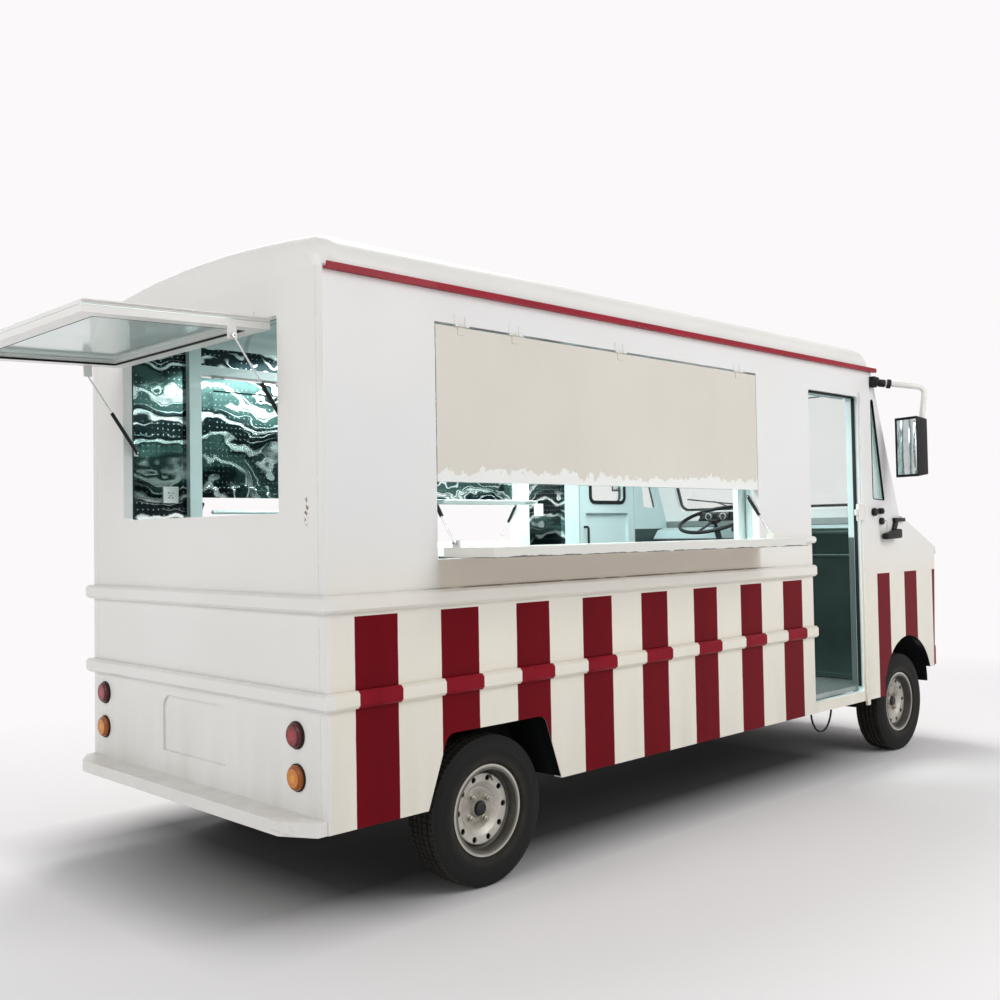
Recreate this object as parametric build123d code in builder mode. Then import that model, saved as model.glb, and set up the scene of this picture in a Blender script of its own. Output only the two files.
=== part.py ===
from build123d import *
from math import cos, hypot, radians, sin
import os

os.makedirs("parts", exist_ok=True)

# Electric food truck, in millimetres.
# +X points to the front, +Y to the truck's left, +Z up. The origin is on the
# ground, under the middle of the truck as it parks with its rear hatch open.

# Main sizes, from the rear face of the body forwards
nose_reach = 5345
hatch_open_deg = 88
hatch_len = 776
hatch_hinge_out = 6
hatch_reach = hatch_hinge_out + hatch_len * sin(radians(hatch_open_deg))
rear_x = -(nose_reach - hatch_reach) / 2

half_width = 991
wall = 46
inner_y = half_width - wall
body_bottom = 404
eaves_z = 2549
body_front_x = rear_x + 4386

# Wheels and axles
tyre_r = 325
tyre_w = 185
rim_r = 196
wheel_y = 856
rear_axle_x = rear_x + 875
front_axle_x = rear_x + 4765
kingpin_y = 786

# Floor and chassis heights
floor_top = 500
floor_t = 30
rail_h = 100
rail_bottom = floor_top - floor_t - rail_h
rail_y = 370


def export(built, label):
    built.part.label = label
    export_step(built.part, f"parts/{label}.step")


def box(x0, x1, y0, y1, z0, z1, mode=Mode.ADD):
    """A box between two opposite corners, in the truck's frame."""
    with Locations(((x0 + x1) / 2, (y0 + y1) / 2, (z0 + z1) / 2)):
        Box(abs(x1 - x0), abs(y1 - y0), abs(z1 - z0), mode=mode)


def bar(axis, start, length, radius, mode=Mode.ADD):
    """A round bar from a start point, along "X", "Y" or "Z"."""
    turn = {"X": (0, 90, 0), "Y": (-90, 0, 0), "Z": (0, 0, 0)}[axis]
    with Locations(Location(start, turn)):
        Cylinder(radius, length, align=(Align.CENTER, Align.CENTER, Align.MIN), mode=mode)


# Roof: a domed lid with rounded eaves and rounded ends
shoulder_r = 145
shoulder_deg = 83
shoulder_y = half_width - shoulder_r
crown_drop = shoulder_y / cos(radians(shoulder_deg))
crown_z = eaves_z - crown_drop * sin(radians(shoulder_deg))
crown_r = crown_drop + shoulder_r
roof_front_x = rear_x + 4394
roof_rear_round = 90
roof_front_round = 110

with BuildPart() as roof:
    with BuildSketch(Plane.YZ.offset(rear_x)):
        with BuildLine():
            CenterArc((shoulder_y, eaves_z), shoulder_r, 0, shoulder_deg)
            CenterArc((0, crown_z), crown_r, shoulder_deg, 180 - 2 * shoulder_deg)
            CenterArc((-shoulder_y, eaves_z), shoulder_r, 180 - shoulder_deg, shoulder_deg)
            Line((-half_width, eaves_z), (half_width, eaves_z))
        make_face()
    extrude(amount=roof_front_x - rear_x)
    rear_edges = roof.faces().sort_by(Axis.X)[0].edges().filter_by(lambda e: e.center().Z > eaves_z + 1)
    fillet(rear_edges, roof_rear_round)
    front_edges = roof.faces().sort_by(Axis.X)[-1].edges().filter_by(lambda e: e.center().Z > eaves_z + 1)
    fillet(front_edges, roof_front_round)
    offset(amount=-wall, openings=roof.faces().sort_by(Axis.Z)[0])
export(roof, "roof")

# Windscreen plane: a line up from the scuttle to the roof
scuttle_x = rear_x + 4749
scuttle_z = 1585
screen_run = body_front_x - scuttle_x
screen_rise = eaves_z - scuttle_z
screen_len = hypot(screen_run, screen_rise)
screen_plane = Plane(
    origin=(scuttle_x, 0, scuttle_z),
    x_dir=(0, 1, 0),
    z_dir=(screen_rise, 0, -screen_run),
)
screen_back_x = wall * screen_len / screen_rise

# Bonnet line, from the scuttle down to the lip over the nose
bonnet_fall = 0.4283
bonnet_t = 30
lip_x = rear_x + nose_reach
lip_z = scuttle_z - (lip_x - scuttle_x) * bonnet_fall
nose_joint_x = rear_x + 5170
nose_joint_z = scuttle_z - (nose_joint_x - scuttle_x) * bonnet_fall
nose_bottom = 530

# Openings in the side walls
serving_x0 = rear_x + 559
serving_x1 = rear_x + 2975
serving_z0 = 1414
serving_z1 = 2398
door_z0 = 467
door_z1 = 2355
right_door = (rear_x + 3552, rear_x + 4165)
left_door = (rear_x + 3645, rear_x + 4290)
rear_arch = [(489, body_bottom - 1), (600, 698), (1180, 698), (1285, body_bottom - 1)]
arch_x = rear_x + 4800
arch_z = 423
arch_r = 350
arch_rear_x = rear_x + 4450
arch_front_x = rear_x + 5150

# Quarter windows, as rear foot, front foot, front head, rear head
right_quarter = [(4346, 1700), (4502, 1691), (4372, 2347), (4346, 2347)]
left_quarter = [(4410, 1700), (4590, 1691), (4372, 2347), (4346, 2347)]


def wall_plane(side, at_y):
    """Plane of a side wall at a distance from the middle, its sketch seen along Y."""
    return Plane.XZ.offset(-side * at_y)


def placed(points):
    """Points given from the rear face, moved to the truck's own frame."""
    return [(rear_x + x, z) for x, z in points]


# Side walls. side is -1 on the right, the kerb side, and +1 on the left
walls = [
    ("side_wall_right", -1, right_door, right_quarter),
    ("side_wall_left", 1, left_door, left_quarter),
]
for label, side, door, quarter in walls:
    with BuildPart() as side_wall:
        with BuildSketch(wall_plane(side, half_width)):
            with BuildLine():
                Polyline(
                    (rear_x, body_bottom),
                    (rear_x, eaves_z),
                    (body_front_x - screen_back_x, eaves_z),
                    (scuttle_x - screen_back_x, scuttle_z),
                    (scuttle_x, scuttle_z - bonnet_t),
                    (nose_joint_x, nose_joint_z - bonnet_t),
                    (nose_joint_x, nose_bottom),
                    (arch_front_x, nose_bottom),
                    (arch_rear_x, nose_bottom),
                    (arch_rear_x, body_bottom),
                    close=True,
                )
            make_face()
            with Locations((arch_x, arch_z)):
                Circle(arch_r, mode=Mode.SUBTRACT)
            with Locations(((serving_x0 + serving_x1) / 2, (serving_z0 + serving_z1) / 2)):
                Rectangle(serving_x1 - serving_x0, serving_z1 - serving_z0, mode=Mode.SUBTRACT)
            with Locations(((door[0] + door[1]) / 2, (door_z0 + door_z1) / 2)):
                RectangleRounded(door[1] - door[0], door_z1 - door_z0, 18, mode=Mode.SUBTRACT)
            with BuildSketch(mode=Mode.SUBTRACT):
                with BuildLine():
                    FilletPolyline(*placed(rear_arch), radius=55)
                    Line(placed(rear_arch)[-1], placed(rear_arch)[0])
                make_face()
            with BuildSketch(mode=Mode.SUBTRACT):
                with BuildLine():
                    FilletPolyline(*placed(quarter), radius=12, close=True)
                make_face()
        extrude(amount=side * wall)
    export(side_wall, label)

# Rear wall, with the hatch opening and a sunk plate panel
hatch_y0 = -681
hatch_y1 = 659
hatch_z0 = 1610
hatch_z1 = 2398
hatch_mid_y = (hatch_y0 + hatch_y1) / 2

with BuildPart() as rear_wall:
    with BuildSketch(Plane.YZ.offset(rear_x)):
        with Locations((0, (body_bottom + eaves_z) / 2)):
            Rectangle(2 * inner_y, eaves_z - body_bottom)
        with Locations((hatch_mid_y, (hatch_z0 + hatch_z1) / 2)):
            RectangleRounded(hatch_y1 - hatch_y0, hatch_z1 - hatch_z0, 12, mode=Mode.SUBTRACT)
    extrude(amount=wall)
    with BuildSketch(Plane.YZ.offset(rear_x)):
        with BuildLine():
            plate_edge = FilletPolyline((-259, 560), (-259, 811), (282, 811), (282, 560), radius=60)
            Line(plate_edge @ 1, plate_edge @ 0)
        make_face()
    extrude(amount=12, mode=Mode.SUBTRACT)
    # a lower panel, and a portal round the hatch that stands on it
    split(bisect_by=Plane.XY.offset(hatch_z0), keep=Keep.BOTH)
export(rear_wall, "rear_wall")

# Windscreen frame, cab glass
screen_half = 791
screen_v0 = 89
screen_v1 = 903
screen_mid_v = (screen_v0 + screen_v1) / 2

with BuildPart() as screen_frame:
    with BuildSketch(Plane.XZ):
        with BuildLine():
            Polyline(
                (body_front_x - screen_back_x, eaves_z),
                (body_front_x, eaves_z),
                (scuttle_x, scuttle_z),
                (scuttle_x, scuttle_z - bonnet_t),
                (scuttle_x - screen_back_x, scuttle_z),
                close=True,
            )
        make_face()
    extrude(amount=half_width, both=True)
    sides = screen_frame.edges().filter_by(
        lambda e: abs(e.center().Y) > half_width - 1
        and abs(e.center().X - (body_front_x + scuttle_x) / 2) < 1
        and abs(e.center().Z - (eaves_z + scuttle_z) / 2) < 1
    )
    fillet(sides, 40)
    with BuildSketch(screen_plane.offset(-wall - 10)):
        with Locations((0, screen_mid_v)):
            RectangleRounded(2 * screen_half, screen_v1 - screen_v0, 60)
    extrude(amount=wall + 20, mode=Mode.SUBTRACT)
export(screen_frame, "screen_frame")

glass_t = 6
glass_inset = 12

with BuildPart() as cab_glass:
    with BuildSketch(screen_plane.offset(-glass_inset - glass_t)):
        with Locations((0, screen_mid_v)):
            RectangleRounded(2 * screen_half, screen_v1 - screen_v0, 60)
    extrude(amount=glass_t)
    for side, quarter in ((-1, right_quarter), (1, left_quarter)):
        with BuildSketch(wall_plane(side, half_width - glass_inset - glass_t)):
            with BuildLine():
                FilletPolyline(*placed(quarter), radius=12, close=True)
            make_face()
        extrude(amount=-side * glass_t)
export(cab_glass, "cab_glass")

# Bonnet: a sloped lid with rounded front corners
corner_r = 100

with BuildPart() as bonnet:
    with BuildSketch(Plane.XZ):
        with BuildLine():
            Polyline(
                (scuttle_x, scuttle_z),
                (lip_x, lip_z),
                (lip_x, lip_z - bonnet_t),
                (scuttle_x, scuttle_z - bonnet_t),
                close=True,
            )
        make_face()
    extrude(amount=half_width, both=True)
    with BuildSketch(Plane.XY.offset(lip_z - bonnet_t - 10)):
        with BuildLine():
            bonnet_edge = FilletPolyline(
                (scuttle_x, -half_width),
                (lip_x, -half_width),
                (lip_x, half_width),
                (scuttle_x, half_width),
                radius=corner_r,
            )
            Line(bonnet_edge @ 1, bonnet_edge @ 0)
        make_face()
    extrude(amount=scuttle_z - lip_z + bonnet_t + 20, mode=Mode.INTERSECT)
export(bonnet, "bonnet")

# Nose: an upright panel that leans out a little towards the bonnet
nose_front_x = rear_x + 5284
nose_lean = 0.052
nose_t = 30
nose_top = 1420
nose_face = Plane(
    origin=(nose_front_x, 0, nose_bottom),
    x_dir=(0, 1, 0),
    z_dir=(1, 0, -nose_lean),
)
headlamp_y = 700
headlamp_v = 420
headlamp_r = 90
grille_half = 480
grille_v0 = 270
grille_slots = 6
grille_pitch = 54
grille_slot_h = 30

with BuildPart() as nose:
    for inset, over, mode in ((0, 0, Mode.ADD), (nose_t, 5, Mode.SUBTRACT)):
        for z in (nose_bottom - over, nose_top + over):
            front = nose_front_x + (z - nose_bottom) * nose_lean - inset
            edge = half_width - inset
            back = nose_joint_x - over
            with BuildSketch(Plane.XY.offset(z)):
                with BuildLine():
                    outline = FilletPolyline(
                        (back, -edge), (front, -edge), (front, edge), (back, edge), radius=corner_r - inset
                    )
                    Line(outline @ 1, outline @ 0)
                make_face()
        loft(mode=mode)
    bonnet_under = Plane(
        origin=(scuttle_x, 0, scuttle_z - bonnet_t),
        x_dir=(0, 1, 0),
        z_dir=(bonnet_fall, 0, 1),
    )
    split(bisect_by=bonnet_under, keep=Keep.BOTTOM)
    with BuildSketch(nose_face.offset(-nose_t - 5)):
        with Locations((-headlamp_y, headlamp_v), (headlamp_y, headlamp_v)):
            Circle(headlamp_r)
        with Locations((0, grille_v0 + (grille_slots - 1) * grille_pitch / 2)):
            with GridLocations(0, grille_pitch, 1, grille_slots):
                RectangleRounded(2 * grille_half, grille_slot_h, 10)
    extrude(amount=nose_t + 10, mode=Mode.SUBTRACT)
export(nose, "nose")

# Belt moldings: two rails that wrap the rear, one short rail each side of the counter
molding_out = 30
molding_edge = 12
belts = [(861, 928), (1226, 1293)]
counter_belt = (1424, 1465)
rib_x = (rear_x + 4175, rear_x + 4215)
rib_z = (377, 2380)
rib_out = 14

with BuildPart() as belt_moldings:
    for z0, z1 in belts:
        with BuildSketch(Plane.XY.offset(z0)):
            with BuildLine():
                Polyline(
                    (right_door[0], -half_width),
                    (right_door[0], -half_width - molding_out),
                    (rear_x - molding_out, -half_width - molding_out),
                    (rear_x - molding_out, half_width + molding_out),
                    (left_door[0], half_width + molding_out),
                    (left_door[0], half_width),
                    (rear_x, half_width),
                    (rear_x, -half_width),
                    close=True,
                )
            make_face()
        extrude(amount=z1 - z0)
    for side, door_edge in ((-1, right_door[0]), (1, left_door[0])):
        outer = side * (half_width + molding_out)
        box(serving_x1, door_edge, side * half_width, outer, counter_belt[0], counter_belt[1])
    rails = belt_moldings.edges().filter_by(
        lambda e: abs(e.center().Y) > half_width + molding_out - 1 or e.center().X < rear_x - molding_out + 1
    )
    long_edges = rails.filter_by(lambda e: e.length > 500)
    chamfer(long_edges, molding_edge)
    box(rib_x[0], rib_x[1], -half_width, -half_width - rib_out, rib_z[0], rib_z[1])
export(belt_moldings, "belt_moldings")

# Gutters along the eaves, open channels
gutter_out = 25
gutter_z0 = 2528
gutter_z1 = 2554

with BuildPart() as gutters:
    for side in (-1, 1):
        with BuildSketch(Plane.YZ.offset(rear_x + 5)):
            with BuildLine():
                Polyline(
                    (side * half_width, gutter_z0),
                    (side * (half_width + gutter_out), gutter_z0),
                    (side * (half_width + gutter_out), gutter_z1),
                    (side * (half_width + gutter_out - 7), gutter_z1),
                    (side * (half_width + gutter_out - 7), gutter_z0 + 8),
                    (side * half_width, gutter_z0 + 8),
                    close=True,
                )
            make_face()
        extrude(amount=roof_front_x - rear_x - 5)
export(gutters, "gutters")

# Rear bumper ledge, hollow below
ledge_out = 128
ledge_z0 = body_bottom
ledge_z1 = 457
ledge_t = 5

with BuildPart() as rear_bumper:
    with BuildSketch(Plane.XY.offset(ledge_z0)):
        with BuildLine():
            Polyline(
                (rear_x, -985),
                (rear_x - 45, -985),
                (rear_x - ledge_out, -845),
                (rear_x - ledge_out, 845),
                (rear_x - 45, 985),
                (rear_x, 985),
                close=True,
            )
        make_face()
    extrude(amount=ledge_z1 - ledge_z0)
    offset(amount=-ledge_t, openings=rear_bumper.faces().sort_by(Axis.Z)[0])
export(rear_bumper, "rear_bumper")

# Front bumper: a channel bar seated on the nose
bumper_front_x = rear_x + 5332
bumper_half = 960
bumper_z0 = 530
bumper_z1 = 658
bumper_t = 5

with BuildPart() as front_bumper:
    with BuildSketch(Plane.XY.offset(bumper_z0)):
        with BuildLine():
            bar_edge = FilletPolyline(
                (nose_front_x - 2, -bumper_half),
                (bumper_front_x, -bumper_half),
                (bumper_front_x, bumper_half),
                (nose_front_x - 2, bumper_half),
                radius=44,
            )
            Line(bar_edge @ 1, bar_edge @ 0)
        make_face()
    extrude(amount=bumper_z1 - bumper_z0)
    offset(amount=-bumper_t, openings=front_bumper.faces().sort_by(Axis.X)[0])
    split(bisect_by=nose_face, keep=Keep.TOP)
export(front_bumper, "front_bumper")

# Lamps: round lenses with a rounded rim, on the rear wall and on the nose
lens_out = 26
lens_round = 18
rear_seat = Plane.YZ.offset(rear_x)

with BuildPart() as tail_lamps:
    with BuildSketch(rear_seat):
        with Locations((-789, 754), (866, 767)):
            Circle(50)
    extrude(amount=-lens_out)
    fillet(tail_lamps.faces().group_by(Axis.X)[0].edges(), lens_round)
export(tail_lamps, "tail_lamps")

with BuildPart() as indicators:
    with BuildSketch(rear_seat):
        with Locations((-793, 592), (869, 600)):
            Circle(50)
    extrude(amount=-lens_out)
    with BuildSketch(nose_face):
        with Locations((-headlamp_y, 250), (headlamp_y, 250)):
            Circle(40)
    extrude(amount=lens_out)
    fillet(indicators.faces().group_by(Axis.X)[0].edges(), lens_round)
    fillet(indicators.faces().group_by(Axis.X)[-1].edges(), lens_round)
export(indicators, "indicators")

# Headlamps: a bowl in the nose, a bezel on it and a domed lens
bezel_r = 104

with BuildPart() as headlamps:
    with BuildSketch(nose_face.offset(-70)):
        with Locations((-headlamp_y, headlamp_v), (headlamp_y, headlamp_v)):
            Circle(headlamp_r - 4)
    extrude(amount=70)
    with BuildSketch(nose_face):
        with Locations((-headlamp_y, headlamp_v), (headlamp_y, headlamp_v)):
            Circle(bezel_r)
    extrude(amount=22)
    fillet(headlamps.faces().group_by(Axis.X)[-1].edges(), 16)
export(headlamps, "headlamps")

# Mirrors: an arm from a clamp on the pillar, a head, and a small low mirror
mirror_arm_r = 11
mirror_head = (75, 180, 390)
mirror_head_x = rear_x + 4487
mirror_head_y = 1199
mirror_head_z = 2029
arm_foot = (rear_x + 4352, 2463)
arm_corner = (rear_x + 4560, 1272, 2418)

with BuildPart() as mirrors:
    for side in (-1, 1):
        foot_x, foot_z = arm_foot
        box(foot_x - 14, foot_x + 14, side * half_width, side * (half_width + 14), foot_z - 32, foot_z + 32)
        corner = (arm_corner[0], side * arm_corner[1], arm_corner[2])
        end = (mirror_head_x + 34, side * (mirror_head_y + 60), mirror_head_z + mirror_head[2] / 2 - 20)
        with BuildLine() as arm:
            FilletPolyline(
                (foot_x, side * (half_width + 8), foot_z), corner, end, radius=45
            )
        with BuildSketch(Plane(origin=arm.line @ 0, z_dir=arm.line % 0)):
            Circle(mirror_arm_r)
        sweep(path=arm.line)
        with BuildSketch(Plane.XY.offset(mirror_head_z - mirror_head[2] / 2)):
            with Locations((mirror_head_x, side * mirror_head_y)):
                RectangleRounded(mirror_head[0], mirror_head[1], 22)
        extrude(amount=mirror_head[2])
        low_x = rear_x + 4630
        box(low_x - 60, low_x + 60, side * half_width, side * (half_width + 22), 1546, 1572)
        box(low_x - 250, low_x - 20, side * half_width, side * (half_width + 60), 1440, 1505)
        box(low_x - 40, low_x - 20, side * half_width, side * (half_width + 20), 1500, 1550)
export(mirrors, "mirrors")

# Floor and front bulkhead. The wheel houses cut into both
house_inner_y = 700
house_gap_x = (rear_x + 492, rear_x + 1283)
front_house_x = rear_x + 4780
front_house_z = 423
front_house_r = 400
front_house_y = 590
footwell_y = 590
bulkhead_x = scuttle_x - screen_back_x
bulkhead_t = 30

with BuildPart() as floor:
    box(rear_x + wall, rear_x + 4382, -inner_y, inner_y, floor_top - floor_t, floor_top)
    box(rear_x + 4382, bulkhead_x + bulkhead_t, -footwell_y, footwell_y, floor_top - floor_t, floor_top)
    for side in (-1, 1):
        box(
            *house_gap_x,
            side * house_inner_y,
            side * inner_y,
            floor_top - floor_t,
            floor_top,
            mode=Mode.SUBTRACT,
        )
    with BuildSketch(Plane.XZ):
        with BuildLine():
            Polyline(
                (bulkhead_x, floor_top),
                (bulkhead_x, scuttle_z),
                (bulkhead_x + bulkhead_t, scuttle_z - bonnet_t * bulkhead_t / screen_back_x),
                (bulkhead_x + bulkhead_t, floor_top),
                close=True,
            )
        make_face()
    extrude(amount=inner_y, both=True)
    for side in (-1, 1):
        with BuildSketch(wall_plane(side, front_house_y)):
            with Locations((front_house_x, front_house_z)):
                Circle(front_house_r)
            with Locations((bulkhead_x + bulkhead_t / 2, front_house_z)):
                Rectangle(bulkhead_t + 2, 2 * (floor_top - front_house_z))
        extrude(amount=-side * (inner_y - front_house_y), mode=Mode.SUBTRACT)
export(floor, "floor")

# Wheel houses. Rear ones follow the arch, front ones are half drums
house_t = 8
house_far = 20


def grown(points, by):
    """The rear arch's outline moved outwards by a distance."""
    (x0, z0), (x1, z1), (x2, z2), (x3, z3) = points
    return [
        (x0 - 1.065 * by, z0),
        (x1 - 0.7 * by, z1 + by),
        (x2 + 0.7 * by, z2 + by),
        (x3 + 1.065 * by, z3),
    ]


with BuildPart() as wheel_houses:
    for side in (-1, 1):
        for by, start, mode in (
            (house_far, house_inner_y, Mode.ADD),
            (house_far - house_t, house_inner_y + house_t, Mode.SUBTRACT),
        ):
            with BuildSketch(wall_plane(side, start)):
                with BuildLine():
                    FilletPolyline(*placed(grown(rear_arch, by)), radius=55)
                    Line(placed(grown(rear_arch, by))[-1], placed(grown(rear_arch, by))[0])
                make_face()
            extrude(amount=-side * (inner_y - start), mode=mode)
        for radius, start, mode in (
            (front_house_r, front_house_y, Mode.ADD),
            (front_house_r - house_t, front_house_y + house_t, Mode.SUBTRACT),
        ):
            with BuildSketch(wall_plane(side, start)):
                with Locations((front_house_x, front_house_z)):
                    Circle(radius)
                with Locations((front_house_x, front_house_z - radius)):
                    Rectangle(2 * radius, 2 * radius, mode=Mode.SUBTRACT)
            extrude(amount=-side * (inner_y - start), mode=mode)
export(wheel_houses, "wheel_houses")

# Chassis: two channel rails, cross members, spring hangers
rail_w = 60
rail_t = 6
rail_z0 = rail_bottom
rail_z1 = floor_top - floor_t
rail_out = rail_y + rail_w / 2
cross_xs = [300, 1450, 2400, 3350, 4200, 5190]
rear_eye = 500
front_eye = 450
eye_z = 402
spring_y = 450
spring_w = 60
eye_pin_r = 9

with BuildPart() as chassis:
    for side in (-1, 1):
        with BuildSketch(Plane.YZ.offset(rear_x + wall)):
            with BuildLine():
                Polyline(
                    (side * rail_out, rail_z0),
                    (side * rail_out, rail_z1),
                    (side * (rail_out - rail_w), rail_z1),
                    (side * (rail_out - rail_w), rail_z1 - rail_t),
                    (side * (rail_out - rail_t), rail_z1 - rail_t),
                    (side * (rail_out - rail_t), rail_z0 + rail_t),
                    (side * (rail_out - rail_w), rail_z0 + rail_t),
                    (side * (rail_out - rail_w), rail_z0),
                    close=True,
                )
            make_face()
        extrude(amount=5250 - wall)
        for axle_x, reach in ((rear_axle_x, rear_eye), (front_axle_x, front_eye)):
            for end in (-1, 1):
                eye_x = axle_x + end * reach
                box(eye_x - 26, eye_x + 26, side * rail_out, side * (rail_out + 12), rail_z0, rail_z1)
                pin_start = rail_out if side > 0 else -spring_y - 40
                bar("Y", (eye_x, pin_start, eye_z), spring_y + 40 - rail_out, eye_pin_r)
    cross_half = rail_out - rail_t
    for x in cross_xs:
        middle = rear_x + x
        box(middle - 30, middle + 30, -cross_half, cross_half, rail_z0 + rail_t, rail_z1 - rail_t)
export(chassis, "chassis")

# Battery box under the rails
with BuildPart() as battery_box:
    box(rear_x + 1500, rear_x + 3300, -325, 325, 240, 362)
    fillet(battery_box.edges().filter_by(Axis.X), 12)
    box(rear_x + 1500, rear_x + 3300, -rail_out, rail_out, 362, rail_z0)
export(battery_box, "battery_box")

# Rear axle: a tube with the drive motor's round housing and spring seats
axle_tube_r = 38
spindle_r = 20
fit = 0.05
hub_in = -30
hub_out = 8
backplate_r = 135

with BuildPart() as rear_axle:
    bar("Y", (rear_axle_x, -(wheel_y - 48), tyre_r), 2 * (wheel_y - 48), axle_tube_r)
    bar("Y", (rear_axle_x, -(wheel_y + 24), tyre_r), 2 * (wheel_y + 24), spindle_r)
    bar("Y", (rear_axle_x, -110, tyre_r), 220, 100)
    fillet(rear_axle.edges().filter_by(GeomType.CIRCLE).filter_by(lambda e: abs(e.radius - 100) < 1), 30)
    for side in (-1, 1):
        inner, outer = side * (spring_y - 35), side * (spring_y + 35)
        box(rear_axle_x - 45, rear_axle_x + 45, inner, outer, tyre_r, tyre_r + 42)
        start = -(wheel_y - 38) if side < 0 else wheel_y - 48
        bar("Y", (rear_axle_x, start, tyre_r), 10, backplate_r)
export(rear_axle, "rear_axle")

# Front axle: a dropped beam with an I section, and an eye for each king pin
beam_w = 50
eye_r = 23
eye_h = 80
beam_top = 315
beam_bottom = 255
pin_r = 16

with BuildPart() as front_axle:
    with BuildSketch(Plane.YZ.offset(front_axle_x - beam_w / 2)):
        with BuildLine():
            Polyline(
                (-kingpin_y, 352),
                (-700, 352),
                (-610, beam_top),
                (610, beam_top),
                (700, 352),
                (kingpin_y, 352),
                (kingpin_y, 298),
                (715, 298),
                (620, beam_bottom),
                (-620, beam_bottom),
                (-715, 298),
                (-kingpin_y, 298),
                close=True,
            )
        make_face()
    extrude(amount=beam_w)
    for side in (-1, 1):
        face_x = front_axle_x + side * beam_w / 2
        box(face_x, face_x - side * 17, -600, 600, beam_bottom + 12, beam_top - 12, mode=Mode.SUBTRACT)
        box(
            front_axle_x - 40,
            front_axle_x + 40,
            side * (kingpin_y - 12),
            side * (kingpin_y + 60),
            240,
            400,
            mode=Mode.SUBTRACT,
        )
        bar("Z", (front_axle_x, side * kingpin_y, tyre_r - eye_h / 2), eye_h, eye_r)
        bar("Z", (front_axle_x, side * kingpin_y, tyre_r - eye_h), 2 * eye_h, pin_r + fit, mode=Mode.SUBTRACT)
        inner, outer = side * (spring_y - 35), side * (spring_y + 35)
        box(front_axle_x - 45, front_axle_x + 45, inner, outer, beam_top - 12, beam_top + 8)
export(front_axle, "front_axle")

# Leaf springs: three leaves a side and axle, the longest with rolled eyes
leaf_t = 10
leaf_shares = [1.0, 0.72, 0.45]
springs = [
    # axle centre, half span, height of the seat
    (rear_axle_x, rear_eye, tyre_r + 42),
    (front_axle_x, front_eye, beam_top + 8),
]

with BuildPart() as leaf_springs:
    for axle_x, reach, seat_z in springs:
        rise = eye_z - seat_z - 2.5 * leaf_t
        bend_r = (reach**2 + rise**2) / (2 * rise)
        for side in (-1, 1):
            with BuildSketch(wall_plane(side, spring_y - spring_w / 2)):
                for step, share in enumerate(reversed(leaf_shares)):
                    low = seat_z + step * leaf_t
                    with BuildSketch():
                        with Locations((axle_x, low + bend_r)):
                            Circle(bend_r)
                        with Locations((axle_x, low + leaf_t + bend_r)):
                            Circle(bend_r, mode=Mode.SUBTRACT)
                        with Locations((axle_x, low + 100)):
                            Rectangle(2 * share * reach, 200, mode=Mode.INTERSECT)
                with Locations((axle_x - reach, eye_z), (axle_x + reach, eye_z)):
                    Circle(eye_pin_r + 9)
                with Locations((axle_x - reach, eye_z), (axle_x + reach, eye_z)):
                    Circle(eye_pin_r + 0.3, mode=Mode.SUBTRACT)
            extrude(amount=-side * spring_w)
            clamp_top = seat_z + 3 * leaf_t + 8
            box(axle_x - 30, axle_x + 30, side * (spring_y - 34), side * (spring_y + 34), seat_z, clamp_top)
export(leaf_springs, "leaf_springs")

# Steering knuckles: a yoke round the axle's eye, king pin, spindle and arm
yoke_gap = 1
yoke_t = 22
yoke_r = 23
yoke_out = wheel_y - 35

for label, side in (("knuckle_right", -1), ("knuckle_left", 1)):
    pin_y = side * kingpin_y
    with BuildPart() as knuckle:
        for z0 in (tyre_r + eye_h / 2 + yoke_gap, tyre_r - eye_h / 2 - yoke_gap - yoke_t):
            bar("Z", (front_axle_x, pin_y, z0), yoke_t, yoke_r)
            box(front_axle_x - yoke_r, front_axle_x + yoke_r, pin_y, side * yoke_out, z0, z0 + yoke_t)
        bar("Z", (front_axle_x, pin_y, tyre_r - eye_h / 2 - 15), eye_h + 30, pin_r)
        web_h = eye_h / 2 + yoke_gap + yoke_t
        box(
            front_axle_x - yoke_r,
            front_axle_x + yoke_r,
            side * (yoke_out - 10),
            side * yoke_out,
            tyre_r - web_h,
            tyre_r + web_h,
        )
        start = side * yoke_out if side > 0 else -(wheel_y + 24)
        bar("Y", (front_axle_x, start, tyre_r), wheel_y + 24 - yoke_out, spindle_r)
        start = yoke_out - 10 if side > 0 else -yoke_out
        bar("Y", (front_axle_x, start, tyre_r), 10, backplate_r)
        arm_z = tyre_r - eye_h / 2 - yoke_gap - yoke_t
        with BuildSketch(Plane.XY.offset(arm_z)):
            with BuildLine():
                Polyline(
                    (front_axle_x - 18, pin_y),
                    (front_axle_x - 150, side * (kingpin_y - 52)),
                    (front_axle_x - 150, side * (kingpin_y - 22)),
                    (front_axle_x + 18, pin_y + side * 10),
                    close=True,
                )
            make_face()
            with Locations((front_axle_x - 150, side * (kingpin_y - 37))):
                Circle(17)
                Circle(7, mode=Mode.SUBTRACT)
        extrude(amount=12)
    export(knuckle, label)

# Wheels. A profile is drawn as distance outboard and radius, then turned
bead_r = 178.3
bead_half = 70
bead_top = rim_r + 1
rim_half = 75
vents = 10
vent_r = 13
vent_circle = 134
wheels = [
    # label, side, axle
    ("front_right", -1, front_axle_x),
    ("front_left", 1, front_axle_x),
    ("rear_right", -1, rear_axle_x),
    ("rear_left", 1, rear_axle_x),
]

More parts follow.
